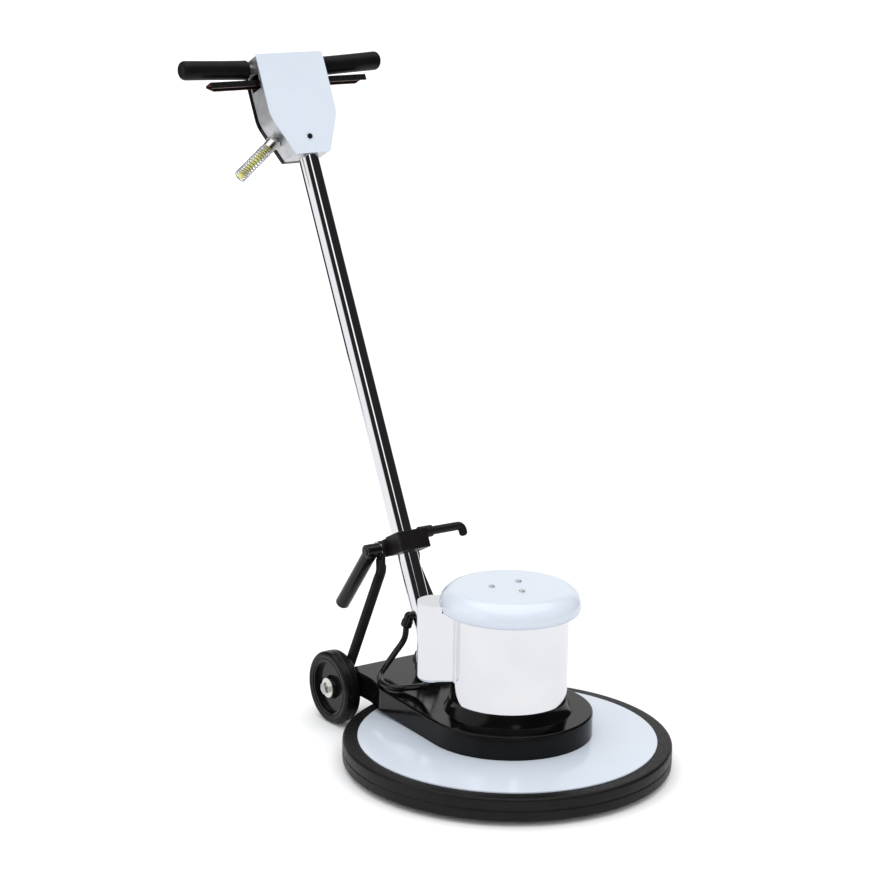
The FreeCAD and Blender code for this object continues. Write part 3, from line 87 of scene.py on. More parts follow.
# ---- node materials --------------------------------------------------------------------------------
class Surface:
    """A node material with object coordinates and a few building blocks to vary it."""

    def __init__(self, name, roughness, metallic=0.0, specular=0.5, coat=0.0):
        self.material = bpy.data.materials.new(name)
        self.material.use_nodes = True
        self.tree = self.material.node_tree
        self.shader = self.tree.nodes["Principled BSDF"]
        self.place = self.tree.nodes.new("ShaderNodeTexCoord").outputs["Object"]
        self.normal = None
        self.shader.inputs["Metallic"].default_value = metallic
        self.shader.inputs["Roughness"].default_value = roughness
        self.shader.inputs["Specular IOR Level"].default_value = specular
        self.shader.inputs["Coat Weight"].default_value = coat
        self.shader.inputs["Coat Roughness"].default_value = 0.04

    def node(self, kind, **settings):
        made = self.tree.nodes.new(kind)
        for key, value in settings.items():
            setattr(made, key, value)
        return made

    def link(self, output, target):
        self.tree.links.new(output, target)

    def stretched(self, factors):
        """Object coordinates scaled along each axis, for grain that runs one way."""
        mapping = self.node("ShaderNodeMapping")
        mapping.inputs["Scale"].default_value = factors
        self.link(self.place, mapping.inputs["Vector"])
        return mapping.outputs["Vector"]

    def cloud(self, size, detail=3.0, place=None):
        """Noise from 0 to 1 whose patches are about as large as size, in metres."""
        texture = self.node("ShaderNodeTexNoise")
        texture.inputs["Scale"].default_value = 1.0 / size
        texture.inputs["Detail"].default_value = detail
        self.link(place or self.place, texture.inputs["Vector"])
        return texture.outputs["Fac"]

    def cells(self, size):
        """Distance to the middle of cells that are about as large as size, in metres."""
        texture = self.node("ShaderNodeTexVoronoi", feature="F1")
        texture.inputs["Scale"].default_value = 1.0 / size
        self.link(self.place, texture.inputs["Vector"])
        return texture.outputs["Distance"]

    def bands(self, pitch, distortion=0.0):
        """Stripes laid one on another along Z, one per pitch in metres."""
        texture = self.node("ShaderNodeTexWave", bands_direction="Z")
        texture.inputs["Scale"].default_value = math.pi / (10 * pitch)
        texture.inputs["Distortion"].default_value = distortion
        self.link(self.place, texture.inputs["Vector"])
        return texture.outputs["Fac"]

    def spread(self, value, low_in, high_in, low_out, high_out):
        """A value carried in a straight line from one range to another, and held at its ends."""
        change = self.node("ShaderNodeMapRange")
        for key, number in zip(("From Min", "From Max", "To Min", "To Max"),
                               (low_in, high_in, low_out, high_out)):
            change.inputs[key].default_value = number
        self.link(value, change.inputs["Value"])
        return change.outputs["Result"]

    def mix(self, amount, first, second):
        """Colour between two colours or colour outputs."""
        blend = self.node("ShaderNodeMix", data_type="RGBA")
        self.link(amount, blend.inputs["Factor"])
        for key, colour in (("A", first), ("B", second)):
            socket = [s for s in blend.inputs if s.name == key and s.type == "RGBA"][0]
            if isinstance(colour, tuple):
                socket.default_value = (*colour, 1.0)
            else:
                self.link(colour, socket)
        return [s for s in blend.outputs if s.type == "RGBA"][0]

    def colour(self, value):
        """Use a colour output as the ground colour."""
        self.link(value, self.shader.inputs["Base Color"])
        return self

    def vary_colour(self, first, second, size):
        """Slow change between two close colours."""
        amount = self.spread(self.cloud(size), 0.3, 0.7, 0.0, 1.0)
        return self.colour(self.mix(amount, first, second))

    def vary_roughness(self, low, high, size):
        """Patches of two roughnesses, each about as large as size, in metres."""
        patches = self.spread(self.cloud(size, 5.0), 0.3, 0.7, low, high)
        self.link(patches, self.shader.inputs["Roughness"])
        return self

    def raise_by(self, value, height, strength):
        """Add a bump of the given height, in metres, on top of those already there."""
        bump = self.node("ShaderNodeBump")
        bump.inputs["Distance"].default_value = height
        bump.inputs["Strength"].default_value = strength
        self.link(value, bump.inputs["Height"])
        if self.normal:
            self.link(self.normal, bump.inputs["Normal"])
        self.normal = bump.outputs["Normal"]
        self.link(self.normal, self.shader.inputs["Normal"])
        return self

    def edges(self, radius):
        """0 on flat ground and up to 1 on a sharp edge, where the colour mixed in is partly wear and partly a
        painted highlight.
        """
        soft = self.node("ShaderNodeBevel", samples=4)
        soft.inputs["Radius"].default_value = radius
        true = self.node("ShaderNodeNewGeometry")
        dot = self.node("ShaderNodeVectorMath", operation="DOT_PRODUCT")
        self.link(soft.outputs["Normal"], dot.inputs[0])
        self.link(true.outputs["Normal"], dot.inputs[1])
        return self.spread(dot.outputs["Value"], 0.98, 0.75, 0.0, 1.0)


def white_paint():
    """Bluish white gloss enamel with faint orange peel."""
    surface = Surface("white_paint", 0.16, specular=0.45, coat=0.25)
    surface.vary_colour((0.59, 0.645, 0.715), (0.61, 0.665, 0.735), 0.12)
    surface.vary_roughness(0.14, 0.24, 0.03)
    return surface.raise_by(surface.cloud(0.004, 1.0), 0.00003, 0.5).material


def black_paint():
    """Gloss black enamel over a casting: orange peel, and each sharp edge lightened grey, partly as wear and
    partly as a painted highlight.
    """
    surface = Surface("black_paint", 0.12, specular=0.17)
    patches = surface.spread(surface.cloud(0.05), 0.35, 0.65, 0.0, 1.0)
    ground = surface.mix(patches, (0.0028, 0.0028, 0.0030), (0.0046, 0.0044, 0.0044))
    # grey on sharp edges: partly worn paint, partly a painted highlight along each edge
    surface.colour(surface.mix(surface.edges(0.0012), ground, (0.020, 0.019, 0.018)))
    surface.vary_roughness(0.08, 0.17, 0.02)
    surface.raise_by(surface.cloud(0.012, 2.0), 0.00010, 0.5)
    return surface.raise_by(surface.cloud(0.003, 1.0), 0.00003, 0.5).material


def black_satin():
    """Satin black powder coat on forgings and bars."""
    surface = Surface("black_satin", 0.40, specular=0.22)
    patches = surface.spread(surface.cloud(0.02), 0.3, 0.7, 0.0, 1.0)
    ground = surface.mix(patches, (0.0075, 0.0062, 0.0058), (0.0120, 0.0100, 0.0092))
    # lighter on sharp edges: partly worn coating, partly a painted highlight along each edge
    surface.colour(surface.mix(surface.edges(0.0010), ground, (0.036, 0.032, 0.029)))
    surface.vary_roughness(0.30, 0.46, 0.006)
    return surface.raise_by(surface.cloud(0.0012, 2.0), 0.00006, 0.6).material


def chrome():
    """Bright plating over drawn steel, with the slow waves of the sheet under it."""
    surface = Surface("chrome", 0.04, metallic=1.0)
    surface.vary_colour((0.80, 0.81, 0.835), (0.85, 0.85, 0.865), 0.08)
    surface.vary_roughness(0.03, 0.08, 0.02)
    surface.raise_by(surface.cloud(0.05, 2.0, surface.stretched((1.0, 1.0, 0.35))), 0.0004, 0.2)
    return surface.raise_by(surface.cloud(0.004, 2.0), 0.000012, 0.4).material


def zinc():
    """Bright zinc plate with faint crystal mottling."""
    surface = Surface("zinc", 0.22, metallic=1.0)
    surface.vary_colour((0.70, 0.69, 0.66), (0.80, 0.79, 0.75), 0.0025)
    surface.vary_roughness(0.14, 0.32, 0.002)
    return surface.raise_by(surface.cloud(0.0008, 3.0), 0.00003, 0.5).material


def steel():
    """Ground steel with grain around and along."""
    surface = Surface("steel", 0.30, metallic=1.0)
    surface.vary_colour((0.46, 0.46, 0.47), (0.56, 0.56, 0.57), 0.02)
    surface.vary_roughness(0.22, 0.38, 0.004)
    grain = surface.cloud(0.002, 3.0, surface.stretched((1.0, 1.0, 8.0)))
    return surface.raise_by(grain, 0.00002, 0.5).material


def cast_aluminium():
    """Satin cast aluminium with a fine sand grain."""
    surface = Surface("cast_aluminium", 0.38, metallic=0.9)
    patches = surface.spread(surface.cloud(0.015), 0.3, 0.7, 0.0, 1.0)
    ground = surface.mix(patches, (0.60, 0.61, 0.62), (0.72, 0.725, 0.73))
    # paler on sharp edges: partly rubbed metal, partly a painted highlight along each edge
    surface.colour(surface.mix(surface.edges(0.0010), ground, (0.86, 0.86, 0.86)))
    surface.vary_roughness(0.30, 0.46, 0.004)
    return surface.raise_by(surface.cloud(0.0009, 3.0), 0.00009, 0.6).material


def laminations():
    """Stacked steel sheets seen on edge."""
    surface = Surface("laminations", 0.45, metallic=0.9)
    sheets = surface.bands(0.001)
    surface.colour(surface.mix(sheets, (0.14, 0.145, 0.15), (0.30, 0.31, 0.32)))
    return surface.raise_by(sheets, 0.0001, 0.7).material


def copper():
    """Enamelled winding wire laid round in turns."""
    surface = Surface("copper", 0.28, metallic=0.85)
    wires = surface.bands(0.0013, 1.5)
    surface.colour(surface.mix(wires, (0.20, 0.055, 0.018), (0.60, 0.26, 0.10)))
    return surface.raise_by(wires, 0.0004, 0.8).material


def rubber(name, dark, light, roughness, specular, grain):
    """Moulded rubber: close dark colours in patches, and a fine grain of the given size."""
    surface = Surface(name, roughness, specular=specular)
    surface.vary_colour(dark, light, 0.03)
    surface.vary_roughness(roughness - 0.06, roughness + 0.08, 0.008)
    return surface.raise_by(surface.cloud(grain, 2.0), grain * 0.05, 0.5).material


def bumper_rubber():
    """Extruded bumper rubber: satin, faintly brown, with a very fine grain."""
    return rubber("bumper_rubber", (0.0062, 0.0054, 0.0058), (0.0095, 0.0085, 0.0090), 0.40, 0.20, 0.0012)


def tyre_rubber():
    """Hard, smooth tyre rubber, glossier than the bumper."""
    return rubber("tyre_rubber", (0.0040, 0.0038, 0.0038), (0.0066, 0.0062, 0.0062), 0.28, 0.20, 0.0010)


def grip_rubber():
    """Soft matt rubber with the finest grain."""
    return rubber("grip_rubber", (0.0042, 0.0040, 0.0040), (0.0070, 0.0066, 0.0066), 0.42, 0.18, 0.0007)


def plastic(name, dark, light, rough_low, rough_high):
    """Moulded plastic with a faint texture from the tool."""
    surface = Surface(name, rough_low, specular=0.3)
    surface.vary_colour(dark, light, 0.02)
    surface.vary_roughness(rough_low, rough_high, 0.01)
    return surface.raise_by(surface.cloud(0.0015, 2.0), 0.00004, 0.5).material


def pad_fibre():
    """Open non-woven fibre: tangled strands, with painted shade in the gaps between them."""
    surface = Surface("pad_fibre", 0.85, specular=0.2)
    strands = surface.cloud(0.0012, 6.0, surface.stretched((1.0, 1.0, 3.0)))
    gaps = surface.cells(0.0022)
    sharp = surface.spread(strands, 0.42, 0.60, 0.0, 1.0)
    # near-black between the strands is painted shade in the gaps
    surface.colour(surface.mix(sharp, (0.004, 0.004, 0.0045), (0.040, 0.039, 0.042)))
    surface.raise_by(gaps, 0.0009, 0.8)
    return surface.raise_by(strands, 0.0008, 0.9).material


def yellow_cord():
    """Safety yellow cord jacket, slightly scuffed."""
    surface = Surface("yellow_cord", 0.38, specular=0.5)
    surface.vary_colour((0.66, 0.64, 0.14), (0.80, 0.78, 0.22), 0.008)
    surface.vary_roughness(0.32, 0.5, 0.004)
    return surface.raise_by(surface.cloud(0.001, 2.0), 0.00005, 0.5).material


def trigger_enamel():
    """Black enamel on top; the underside shows brown primer."""
    surface = Surface("trigger_enamel", 0.3, specular=0.3)
    facing = surface.node("ShaderNodeNewGeometry")
    split = surface.node("ShaderNodeSeparateXYZ")
    surface.link(facing.outputs["Normal"], split.inputs["Vector"])
    below = surface.spread(split.outputs["Z"], -0.15, -0.45, 0.0, 1.0)
    surface.colour(surface.mix(below, (0.007, 0.006, 0.006), (0.13, 0.045, 0.032)))
    surface.vary_roughness(0.24, 0.40, 0.005)
    return surface.raise_by(surface.cloud(0.002, 2.0), 0.00005, 0.5).material


MATERIALS = {
    "white_paint": white_paint(),
    "black_paint": black_paint(),
    "black_satin": black_satin(),
    "chrome": chrome(),
    "zinc": zinc(),
    "steel": steel(),
    "cast_aluminium": cast_aluminium(),
    "laminations": laminations(),
    "copper": copper(),
    "bumper_rubber": bumper_rubber(),
    "tyre_rubber": tyre_rubber(),
    "grip_rubber": grip_rubber(),
    "black_plastic": plastic("black_plastic", (0.0045, 0.0045, 0.0048), (0.0075, 0.0073, 0.0075), 0.10, 0.22),
    "driver_plastic": plastic("driver_plastic", (0.012, 0.013, 0.015), (0.022, 0.023, 0.026), 0.40, 0.55),
    "clutch_plastic": plastic("clutch_plastic", (0.46, 0.42, 0.30), (0.56, 0.52, 0.38), 0.35, 0.5),
    "black_cord": plastic("black_cord", (0.0045, 0.0045, 0.0048), (0.008, 0.0078, 0.008), 0.16, 0.28),
    "pad_fibre": pad_fibre(),
    "yellow_cord": yellow_cord(),
    "trigger_enamel": trigger_enamel(),
}


def finish_cad_nodes():
    """Give each carried-over node the procedural material of its slot."""
    for node in nodes.values():
        for slot in node.material_slots:
            slot.material = MATERIALS[slot.material.name.split(".")[0]]


# ---- mesh building ---------------------------------------------------------------------------------
def arc(centre, radius, start_deg, end_deg, steps):
    """Points of a round corner in a (radius, height) outline."""
    points = []
    for i in range(steps + 1):
        angle = math.radians(start_deg + (end_deg - start_deg) * i / steps)
        points.append((centre[0] + radius * math.cos(angle), centre[1] + radius * math.sin(angle)))
    return points


def add_piece(name, mesh_builder, body, slot, stands_for, smooth_deg=35):
    """Finish a bmesh as a shown piece that stands for CAD nodes and rides on a body, if one is given."""
    bmesh.ops.recalc_face_normals(mesh_builder, faces=mesh_builder.faces)
    mesh = bpy.data.meshes.new(name)
    mesh_builder.to_mesh(mesh)
    mesh_builder.free()
    piece = bpy.data.objects.new(name, mesh)
    bpy.context.scene.collection.objects.link(piece)
    mesh.materials.append(MATERIALS[slot])
    mesh.shade_smooth()
    mesh.set_sharp_from_angle(angle=math.radians(smooth_deg))
    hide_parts(*stands_for)
    if body:
        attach(piece, body)
    return piece


def lathe(outline, segments, origin, axis, side):
    """Turn a closed outline of (radius, height) points, in metres; side is where the first column stands."""
    builder = bmesh.new()
    across = axis.cross(side).normalized()
    columns = []
    for i in range(segments):
        angle = 2 * math.pi * i / segments
        out = side * math.cos(angle) + across * math.sin(angle)
        columns.append([builder.verts.new(origin + out * radius + axis * height)
                        for radius, height in outline])
    count = len(outline)
    for i in range(segments):
        here, there = columns[i], columns[(i + 1) % segments]
        for k in range(count):
            after = (k + 1) % count
            builder.faces.new((here[k], there[k], there[after], here[after]))
    bmesh.ops.remove_doubles(builder, verts=builder.verts, dist=1e-7)
    return builder


def sweep(points, radius_at, sides):
    """Round bar along points; radius_at(share) gives its radius from start to end. Both ends are capped."""
    builder = bmesh.new()
    rings = []
    ahead = (points[1] - points[0]).normalized()
    side = ahead.orthogonal().normalized()
    for i, point in enumerate(points):
        before = points[max(i - 1, 0)]
        after = points[min(i + 1, len(points) - 1)]
        way = (after - before).normalized()
        side = (side - way * side.dot(way)).normalized()
        across = way.cross(side)
        radius = radius_at(i / (len(points) - 1))
        rings.append([builder.verts.new(point + (side * math.cos(2 * math.pi * k / sides)
                                                 + across * math.sin(2 * math.pi * k / sides)) * radius)
                      for k in range(sides)])
    for low, high in zip(rings, rings[1:]):
        for k in range(sides):
            after = (k + 1) % sides
            builder.faces.new((low[k], low[after], high[after], high[k]))
    for ring in (rings[0], rings[-1]):
        builder.faces.new(ring)
    return builder


def spline(knots, steps):
    """Smooth Catmull-Rom curve through the knots, with a number of steps from each knot to the next."""
    points = []
    padded = [knots[0] * 2 - knots[1]] + knots + [knots[-1] * 2 - knots[-2]]
    for p0, p1, p2, p3 in zip(padded, padded[1:], padded[2:], padded[3:]):
        for i in range(steps):
            t = i / steps
            points.append(0.5 * ((2 * p1) + (p2 - p0) * t + (2 * p0 - 5 * p1 + 4 * p2 - p3) * t * t
                                 + (3 * p1 - p0 - 3 * p2 + p3) * t * t * t))
    points.append(knots[-1])
    return points


# ---- camera, light and floor -----------------------------------------------------------------------
HEADING = math.radians(34.68)      # camera's forward way, turned from +Y towards +X
PITCH = math.radians(14.26)        # looking down
ROLL = math.radians(0.94)
LENS = 104.4
SENSOR = 36.0
DISTANCE = 4.506
AIM = Vector((0.0095, 0.2336, 0.5282))


def build_camera():
    """Camera at the viewing angle of the reference view."""
    data = bpy.data.cameras.new("camera")
    camera = bpy.data.objects.new("camera", data)
    bpy.context.scene.collection.objects.link(camera)
    data.lens = LENS
    data.sensor_width = SENSOR
    ahead = Vector((math.sin(HEADING), math.cos(HEADING), 0))
    forward = ahead * math.cos(PITCH) - Z * math.sin(PITCH)
    level = Vector((math.cos(HEADING), -math.sin(HEADING), 0))
    upright = level.cross(forward)
    right = level * math.cos(ROLL) + upright * math.sin(ROLL)
    above = right.cross(forward)
    turn = Matrix((right, above, -forward)).transposed().to_4x4()
    camera.matrix_world = Matrix.Translation(AIM - forward * DISTANCE) @ turn
    bpy.context.scene.camera = camera


def direction(azimuth_deg, height_deg):
    """Unit vector; azimuth is turned from +Y towards +X."""
    azimuth, height = math.radians(azimuth_deg), math.radians(height_deg)
    level = Vector((math.sin(azimuth), math.cos(azimuth), 0))
    return level * math.cos(height) + Z * math.sin(height)


# soft lights round the set: azimuth, height, inner and outer half angle in degrees, strength
STUDIO_LIGHTS = [
    (0, 90, 34, 46, 1.40),
    (-70, 4, 30, 42, 1.00),
    (35, 0, 26, 40, 0.84),
    (-161, 38, 5, 8, 1.3),
]
# a wide fill from the front that only lights matt surfaces
FILL_LIGHTS = [(-165, 28, 20, 70, 0.55)]
DARK_WALL = 0.02           # the studio between its lights
AMBIENT = 0.86             # even light on matt surfaces, from every side


def world_math(tree, operation, first, second):
    """One sum or product of two values, each a number or a node's output."""
    node = tree.nodes.new("ShaderNodeMath")
    node.operation = operation
    for socket, value in zip(node.inputs, (first, second)):
        if isinstance(value, float):
            socket.default_value = value
        else:
            tree.links.new(value, socket)
    return node.outputs["Value"]


def lobes(tree, lights, base):
    """Brightness of the studio in each direction: a base value and soft round lights."""
    way = tree.nodes.new("ShaderNodeTexCoord").outputs["Generated"]
    total = base
    for azimuth, height, inner, outer, strength in lights:
        dot = tree.nodes.new("ShaderNodeVectorMath")
        dot.operation = "DOT_PRODUCT"
        dot.inputs[1].default_value = direction(azimuth, height)
        tree.links.new(way, dot.inputs[0])
        soft = tree.nodes.new("ShaderNodeMapRange")
        soft.interpolation_type = "SMOOTHSTEP"
        soft.inputs["From Min"].default_value = math.cos(math.radians(outer))
        soft.inputs["From Max"].default_value = math.cos(math.radians(inner))
        soft.inputs["To Max"].default_value = strength
        tree.links.new(dot.outputs["Value"], soft.inputs["Value"])
        total = world_math(tree, "ADD", total, soft.outputs["Result"])
    return total


def build_world():
    """Plain white to the camera; a dark studio with a few soft lights to shiny surfaces."""
    world = bpy.data.worlds.new("studio")
    bpy.context.scene.world = world
    world.use_nodes = True
    tree = world.node_tree
    tree.nodes.clear()
    rays = tree.nodes.new("ShaderNodeLightPath")
    fill = world_math(tree, "MULTIPLY", lobes(tree, FILL_LIGHTS, AMBIENT), rays.outputs["Is Diffuse Ray"])
    strength = world_math(tree, "ADD", lobes(tree, STUDIO_LIGHTS, DARK_WALL), fill)
    studio = tree.nodes.new("ShaderNodeBackground")
    studio.inputs["Color"].default_value = (0.985, 0.99, 1.0, 1.0)
    tree.links.new(strength, studio.inputs["Strength"])
    plain = tree.nodes.new("ShaderNodeBackground")
    plain.inputs["Color"].default_value = (1.0, 1.0, 1.0, 1.0)
    mix = tree.nodes.new("ShaderNodeMixShader")
    tree.links.new(rays.outputs["Is Camera Ray"], mix.inputs["Fac"])
    tree.links.new(studio.outputs["Background"], mix.inputs[1])
    tree.links.new(plain.outputs["Background"], mix.inputs[2])
    output = tree.nodes.new("ShaderNodeOutputWorld")
    tree.links.new(mix.outputs["Shader"], output.inputs["Surface"])
    # colours are shown as they are, without a film curve
    bpy.context.scene.view_settings.view_transform = "Standard"


FLOOR_HALF = 30.0
LIT_FLOOR = 2.2            # shiny surfaces see the floor as far as this; beyond it they see the studio


def build_floor():
    """Plain pale floor that runs out of sight."""
    builder = bmesh.new()
    corners = [(-FLOOR_HALF, -FLOOR_HALF, 0), (FLOOR_HALF, -FLOOR_HALF, 0),
               (FLOOR_HALF, FLOOR_HALF, 0), (-FLOOR_HALF, FLOOR_HALF, 0)]
    builder.faces.new([builder.verts.new(corner) for corner in corners])
    mesh = bpy.data.meshes.new("floor")
    builder.to_mesh(mesh)
    builder.free()
    floor = bpy.data.objects.new("floor", mesh)
    bpy.context.scene.collection.objects.link(floor)
    surface = Surface("floor", 0.8, specular=0.1)
    rays = surface.node("ShaderNodeLightPath")
    near_white = surface.mix(surface.cloud(1.5), (0.91, 0.91, 0.91), (0.92, 0.92, 0.92))
    surface.colour(surface.mix(rays.outputs["Is Camera Ray"], (0.72, 0.72, 0.73), near_white))
    far = surface.node("ShaderNodeMath", operation="GREATER_THAN")
    far.inputs[1].default_value = LIT_FLOOR
    surface.link(rays.outputs["Ray Length"], far.inputs[0])
    open_floor = surface.node("ShaderNodeMath", operation="MULTIPLY")
    surface.link(far.outputs["Value"], open_floor.inputs[0])
    surface.link(rays.outputs["Is Glossy Ray"], open_floor.inputs[1])
    clear = surface.node("ShaderNodeBsdfTransparent")
    mix = surface.node("ShaderNodeMixShader")
    surface.link(open_floor.outputs["Value"], mix.inputs["Fac"])
    surface.link(surface.shader.outputs["BSDF"], mix.inputs[1])
    surface.link(clear.outputs["BSDF"], mix.inputs[2])
    surface.link(mix.outputs["Shader"], surface.tree.nodes["Material Output"].inputs["Surface"])
    mesh.materials.append(surface.material)


# ---- soft pieces -----------------------------------------------------------------------------------
GRIP_BACK = 14.0
GRIP_ALONG = 1130.0
GRIP_RISE = math.tan(math.radians(2.5))
GRIP_ROOT = 78.0
GRIP_TIP = 214.5
GRIP_R = 17.9
GRIP_BORE = 11.0
GRIP_DOME = 9.5
GRIP_END_WALL = 6.0        # rubber beyond the end of the bar
LIP_EDGE_R = 1.6
LIP_HEIGHT = 0.4           # how far the lip at the root stands out
LIP_TOP = 5.0
LIP_END = 6.5
WAIST_DEPTH = 0.25
WAIST_STEPS = 8
WAIST_MARGIN = 20.0        # taken up by the lip and the domed end together


def grip_point(x):
    """Point on the axis of the hand grips, which rises a little outward."""
    return handle_point(x, GRIP_BACK, GRIP_ALONG + abs(x) * GRIP_RISE)


def join(builder, other):
    """Add another bmesh to a bmesh."""
    mesh = bpy.data.meshes.new("joined")
    other.to_mesh(mesh)
    other.free()
    builder.from_mesh(mesh)
    bpy.data.meshes.remove(mesh)


def scaled(outline):
    """An outline in metres from one in millimetres."""
    return [(radius * MM, height * MM) for radius, height in outline]


def build_hand_grips():
    """Two moulded grips, each with a low lip at the root, a slight waist and a domed end."""
    builder = bmesh.new()
    for side in (-1, 1):
        root = grip_point(side * GRIP_ROOT)
        tip = grip_point(side * GRIP_TIP)
        length = (tip - root).length / MM
        outline = [(GRIP_BORE, 0.0), (GRIP_R - LIP_EDGE_R, 0.0)]
        outline += arc((GRIP_R + LIP_HEIGHT - LIP_EDGE_R, LIP_EDGE_R), LIP_EDGE_R, -90, 0, 5)
        outline += [(GRIP_R + LIP_HEIGHT, LIP_TOP), (GRIP_R, LIP_END)]
        waist = [(i / WAIST_STEPS, LIP_END + i * (length - WAIST_MARGIN) / WAIST_STEPS)
                 for i in range(1, WAIST_STEPS)]
        outline += [(GRIP_R - WAIST_DEPTH * math.sin(math.pi * share), height) for share, height in waist]
        outline += arc((GRIP_R - GRIP_DOME, length - GRIP_DOME), GRIP_DOME, 0, 80, 10)
        inside = length - GRIP_END_WALL
        outline += [(0.0, length), (0.0, inside), (GRIP_BORE, inside)]
        join(builder, lathe(scaled(outline), 72, root, (tip - root).normalized(), TUBE_WAY))
    add_piece("moulded_hand_grips", builder, "handle", "grip_rubber", ["hand_grips"])


TYRE_BEAD_R = 50.0
TYRE_SHOULDER_R = 7.0
MOULD_LINE = 0.45          # how far the line round the middle of the tread stands out


def build_tyre(side_name):
    """Solid rubber tyre with a bead lip, rounded shoulders, a slight crown and a mould line."""
    node = side_name + "_tyre"
    low, high = box_low(node), box_high(node)
    radius = (high.z - low.z) / 2 / MM
    half = (high.x - low.x) / 2 / MM
    face = [(TYRE_BEAD_R, half - 1.0), (TYRE_BEAD_R + 1.0, half - 0.2), (TYRE_BEAD_R + 3.0, half - 0.2),
            (TYRE_BEAD_R + 3.8, half - 0.9), (TYRE_BEAD_R + 5.0, half - 0.9), (TYRE_BEAD_R + 6.2, half - 0.1)]
    shoulder = arc((radius - TYRE_SHOULDER_R, half - TYRE_SHOULDER_R), TYRE_SHOULDER_R, 90, 0, 10)
    tread = [(radius + 0.15, half * 0.3), (radius + 0.2, 0.5), (radius + MOULD_LINE, 0.0)]
    upper = face + shoulder + tread
    outline = upper + [(r, -x) for r, x in upper[-2::-1]]
    centre = Vector(((low.x + high.x) / 2, AXLE.y, AXLE.z))
    builder = lathe(scaled(outline), 128, centre, X, Z)
    add_piece(side_name + "_rubber_tyre", builder, side_name + "_wheel", "tyre_rubber", [node])


BUMPER_EDGE_R = 5.0
BUMPER_LINE_DEPTH = 0.9
BUMPER_LIP = 2.5           # how far the bumper reaches in over the edge of the housing


def build_bumper():
    """Extruded rubber bumper: soft corners, a shallow line round its middle and a lip on the housing."""
    low, high = box_low("bumper_ring"), box_high("bumper_ring")
    outer = high.x / MM
    inner = box_high("pad_housing").x / MM - BUMPER_LIP
    low_z, high_z = low.z / MM, high.z / MM
    middle = (low_z + high_z) / 2
    line = outer - BUMPER_LINE_DEPTH
    outline = [(inner, low_z), (inner + 12, low_z)]
    outline += arc((outer - BUMPER_EDGE_R, low_z + BUMPER_EDGE_R), BUMPER_EDGE_R, -90, 0, 8)
    outline += [(outer + 0.2, middle - 4), (outer, middle - 1.6), (line, middle - 0.5),
                (line, middle + 0.5), (outer, middle + 1.6), (outer + 0.2, middle + 4)]
    outline += arc((outer - BUMPER_EDGE_R, high_z - BUMPER_EDGE_R), BUMPER_EDGE_R, 0, 90, 8)
    outline += [(inner + 10, high_z), (inner + 4.5, high_z), (inner, high_z)]
    builder = lathe(scaled(outline), 256, Vector((0, 0, 0)), Z, X)
    add_piece("rubber_bumper", builder, "base", "bumper_rubber", ["bumper_ring"])


PAD_INSET = 1.5            # room left for the rough surface
PAD_EDGE_R = 4.0
PAD_ROUGHNESS = 0.9
PAD_GRAIN = 180            # lumps per metre


def build_pad():
    """Disc of open fibre: its rim and underside are rough in the mesh itself."""
    radius = box_high("floor_pad").x / MM
    thick = box_high("floor_pad").z / MM
    rim = radius - PAD_INSET
    outline = [(r, PAD_INSET) for r in (0, 30, 60, 90, 120, 150, 180, 210, 230)]
    outline += arc((rim - PAD_EDGE_R, PAD_INSET + PAD_EDGE_R), PAD_EDGE_R, -90, 0, 4)
    rim_height = thick - PAD_INSET - PAD_EDGE_R
    outline += [(rim, PAD_INSET + PAD_EDGE_R + rim_height * i / 4) for i in range(1, 5)]
    outline += [(r, thick) for r in (rim - 2, 200, 150, 100, 50, 0)]
    builder = lathe(scaled(outline), 240, Vector((0, 0, 0)), Z, X)
    for vertex in builder.verts:
        if vertex.co.z < (thick - 1) * MM:
            place = vertex.co * PAD_GRAIN
            shift = noise.noise_vector(place) * PAD_ROUGHNESS * MM
            vertex.co += Vector((shift.x, shift.y, max(shift.z, -1.2 * MM)))
    add_piece("fibre_pad", builder, "output", "pad_fibre", ["floor_pad"], 60)


CABLE_R = 5.6
BOX_DIRECTION = math.radians(145.3)
BOX_INLET_R = 125.5        # from the motor axis to the cable hole in the capacitor box
GLAND_ELBOW = (-27.0, 2.0, 79.0)       # across, behind and along the handle tube
GLAND_WAY = Vector((-0.3, 0.1, -0.95)).normalized()
GLAND_MOUTH_ALONG = 16.0


def gland_point(distance):
    """Point on the axis of the tube gland's nut, at a distance in millimetres from its elbow."""
    return handle_point(*GLAND_ELBOW) + GLAND_WAY * distance * MM


def cable_knots():
    """From the gland on the tube, down and over the deck, and up into the capacitor box."""
    deck = box_high("base_frame").z / MM + CABLE_R + 1.5
    inlet = Vector((BOX_INLET_R * math.cos(BOX_DIRECTION), BOX_INLET_R * math.sin(BOX_DIRECTION),
                    box_low("capacitor_cover").z / MM))
    down = [(-38, 268, 157), (-62, 264, 134), (-84, 256, 119)]
    over = [(-108, 239, deck + 1), (-126, 209, deck), (-131, 183, deck), (-125, 166, deck),
            (-108, 156, deck + 1)]
    up = [(-97, 130, deck + 9), (-100, 92, deck + 27)]
    knots = [Vector(point) * MM for point in down + over + up]
    return [gland_point(GLAND_MOUTH_ALONG)] + knots + [inlet * MM, (inlet + Z * 4) * MM]


def build_power_cable():
    """Round rubber cable swept through the knots, from the gland on the handle tube down over the deck to the
    capacitor box.
    """
    knots = cable_knots()
    builder = sweep(spline(knots, 14), lambda share: CABLE_R * MM, 20)
    cable = add_piece("rubber_power_cable", builder, None, "black_cord", ["power_cable"], 60)
    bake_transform(cable)


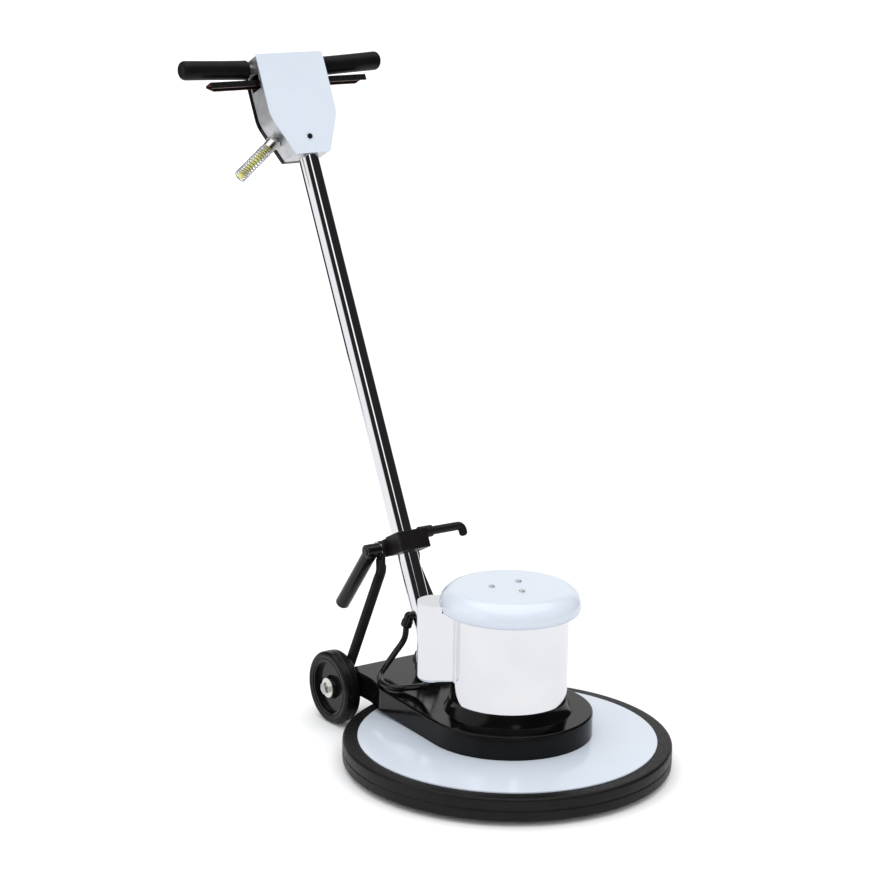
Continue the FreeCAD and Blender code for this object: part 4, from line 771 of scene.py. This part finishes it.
CORD_ROOT = (-55.5, 10.0, 992.0)
CORD_WAY = (X * -0.82 + BACK_WAY * 0.06 - TUBE_WAY * 0.57).normalized()
CORD_R = 5.5
CORD_INSIDE = 20.0         # length of cord inside the head
CORD_END_R = 1.5
SPRING_R = 10.9
SPRING_WIRE_R = 1.1
SPRING_TURNS = 14
POINTS_PER_TURN = 28
SPRING_LENGTH = 80.0
SPRING_START = 27.5        # along the cord, from the wall of the head


def cord_point(distance):
    """Point on the axis of the cord, at a distance in millimetres from the wall of the head."""
    return handle_point(*CORD_ROOT) + CORD_WAY * distance * MM


def build_mains_cord():
    """Yellow jacket with a slight wave along it and a neatly rounded end."""
    length = SPRING_START + SPRING_LENGTH + CORD_END_R + CORD_INSIDE
    count = 60
    points = [cord_point(-CORD_INSIDE + length * i / count) for i in range(count + 1)]

    def radius(share):
        from_end = (1 - share) * length
        rounding = math.sqrt(max(0.0, 1 - (1 - min(from_end / CORD_END_R, 1.0)) ** 2))
        return (CORD_R * (0.72 + 0.28 * rounding) + 0.06 * math.sin(share * 40)) * MM

    add_piece("yellow_cord_jacket", sweep(points, radius, 28), "handle", "yellow_cord", ["mains_cord"], 50)


def build_cord_spring():
    """Wire spring that keeps the cord from kinking; its end turns lie closer together."""
    side = CORD_WAY.orthogonal().normalized()
    across = CORD_WAY.cross(side)
    steps = SPRING_TURNS * POINTS_PER_TURN
    points = []
    for i in range(steps + 1):
        share = i / steps
        eased = share - 0.035 * math.sin(2 * math.pi * share)
        angle = 2 * math.pi * SPRING_TURNS * share
        out = side * math.cos(angle) + across * math.sin(angle)
        points.append(cord_point(SPRING_START + SPRING_LENGTH * eased) + out * (SPRING_R * MM))
    builder = sweep(points, lambda share: SPRING_WIRE_R * MM, 10)
    add_piece("wire_cord_spring", builder, "handle", "steel", ["cord_spring"], 60)


# ---- pieces ----------------------------------------------------------------------------------------
finish_cad_nodes()
build_hand_grips()
build_tyre("left")
build_tyre("right")
build_bumper()
build_pad()
build_power_cable()
build_mains_cord()
build_cord_spring()
build_camera()
build_world()
build_floor()
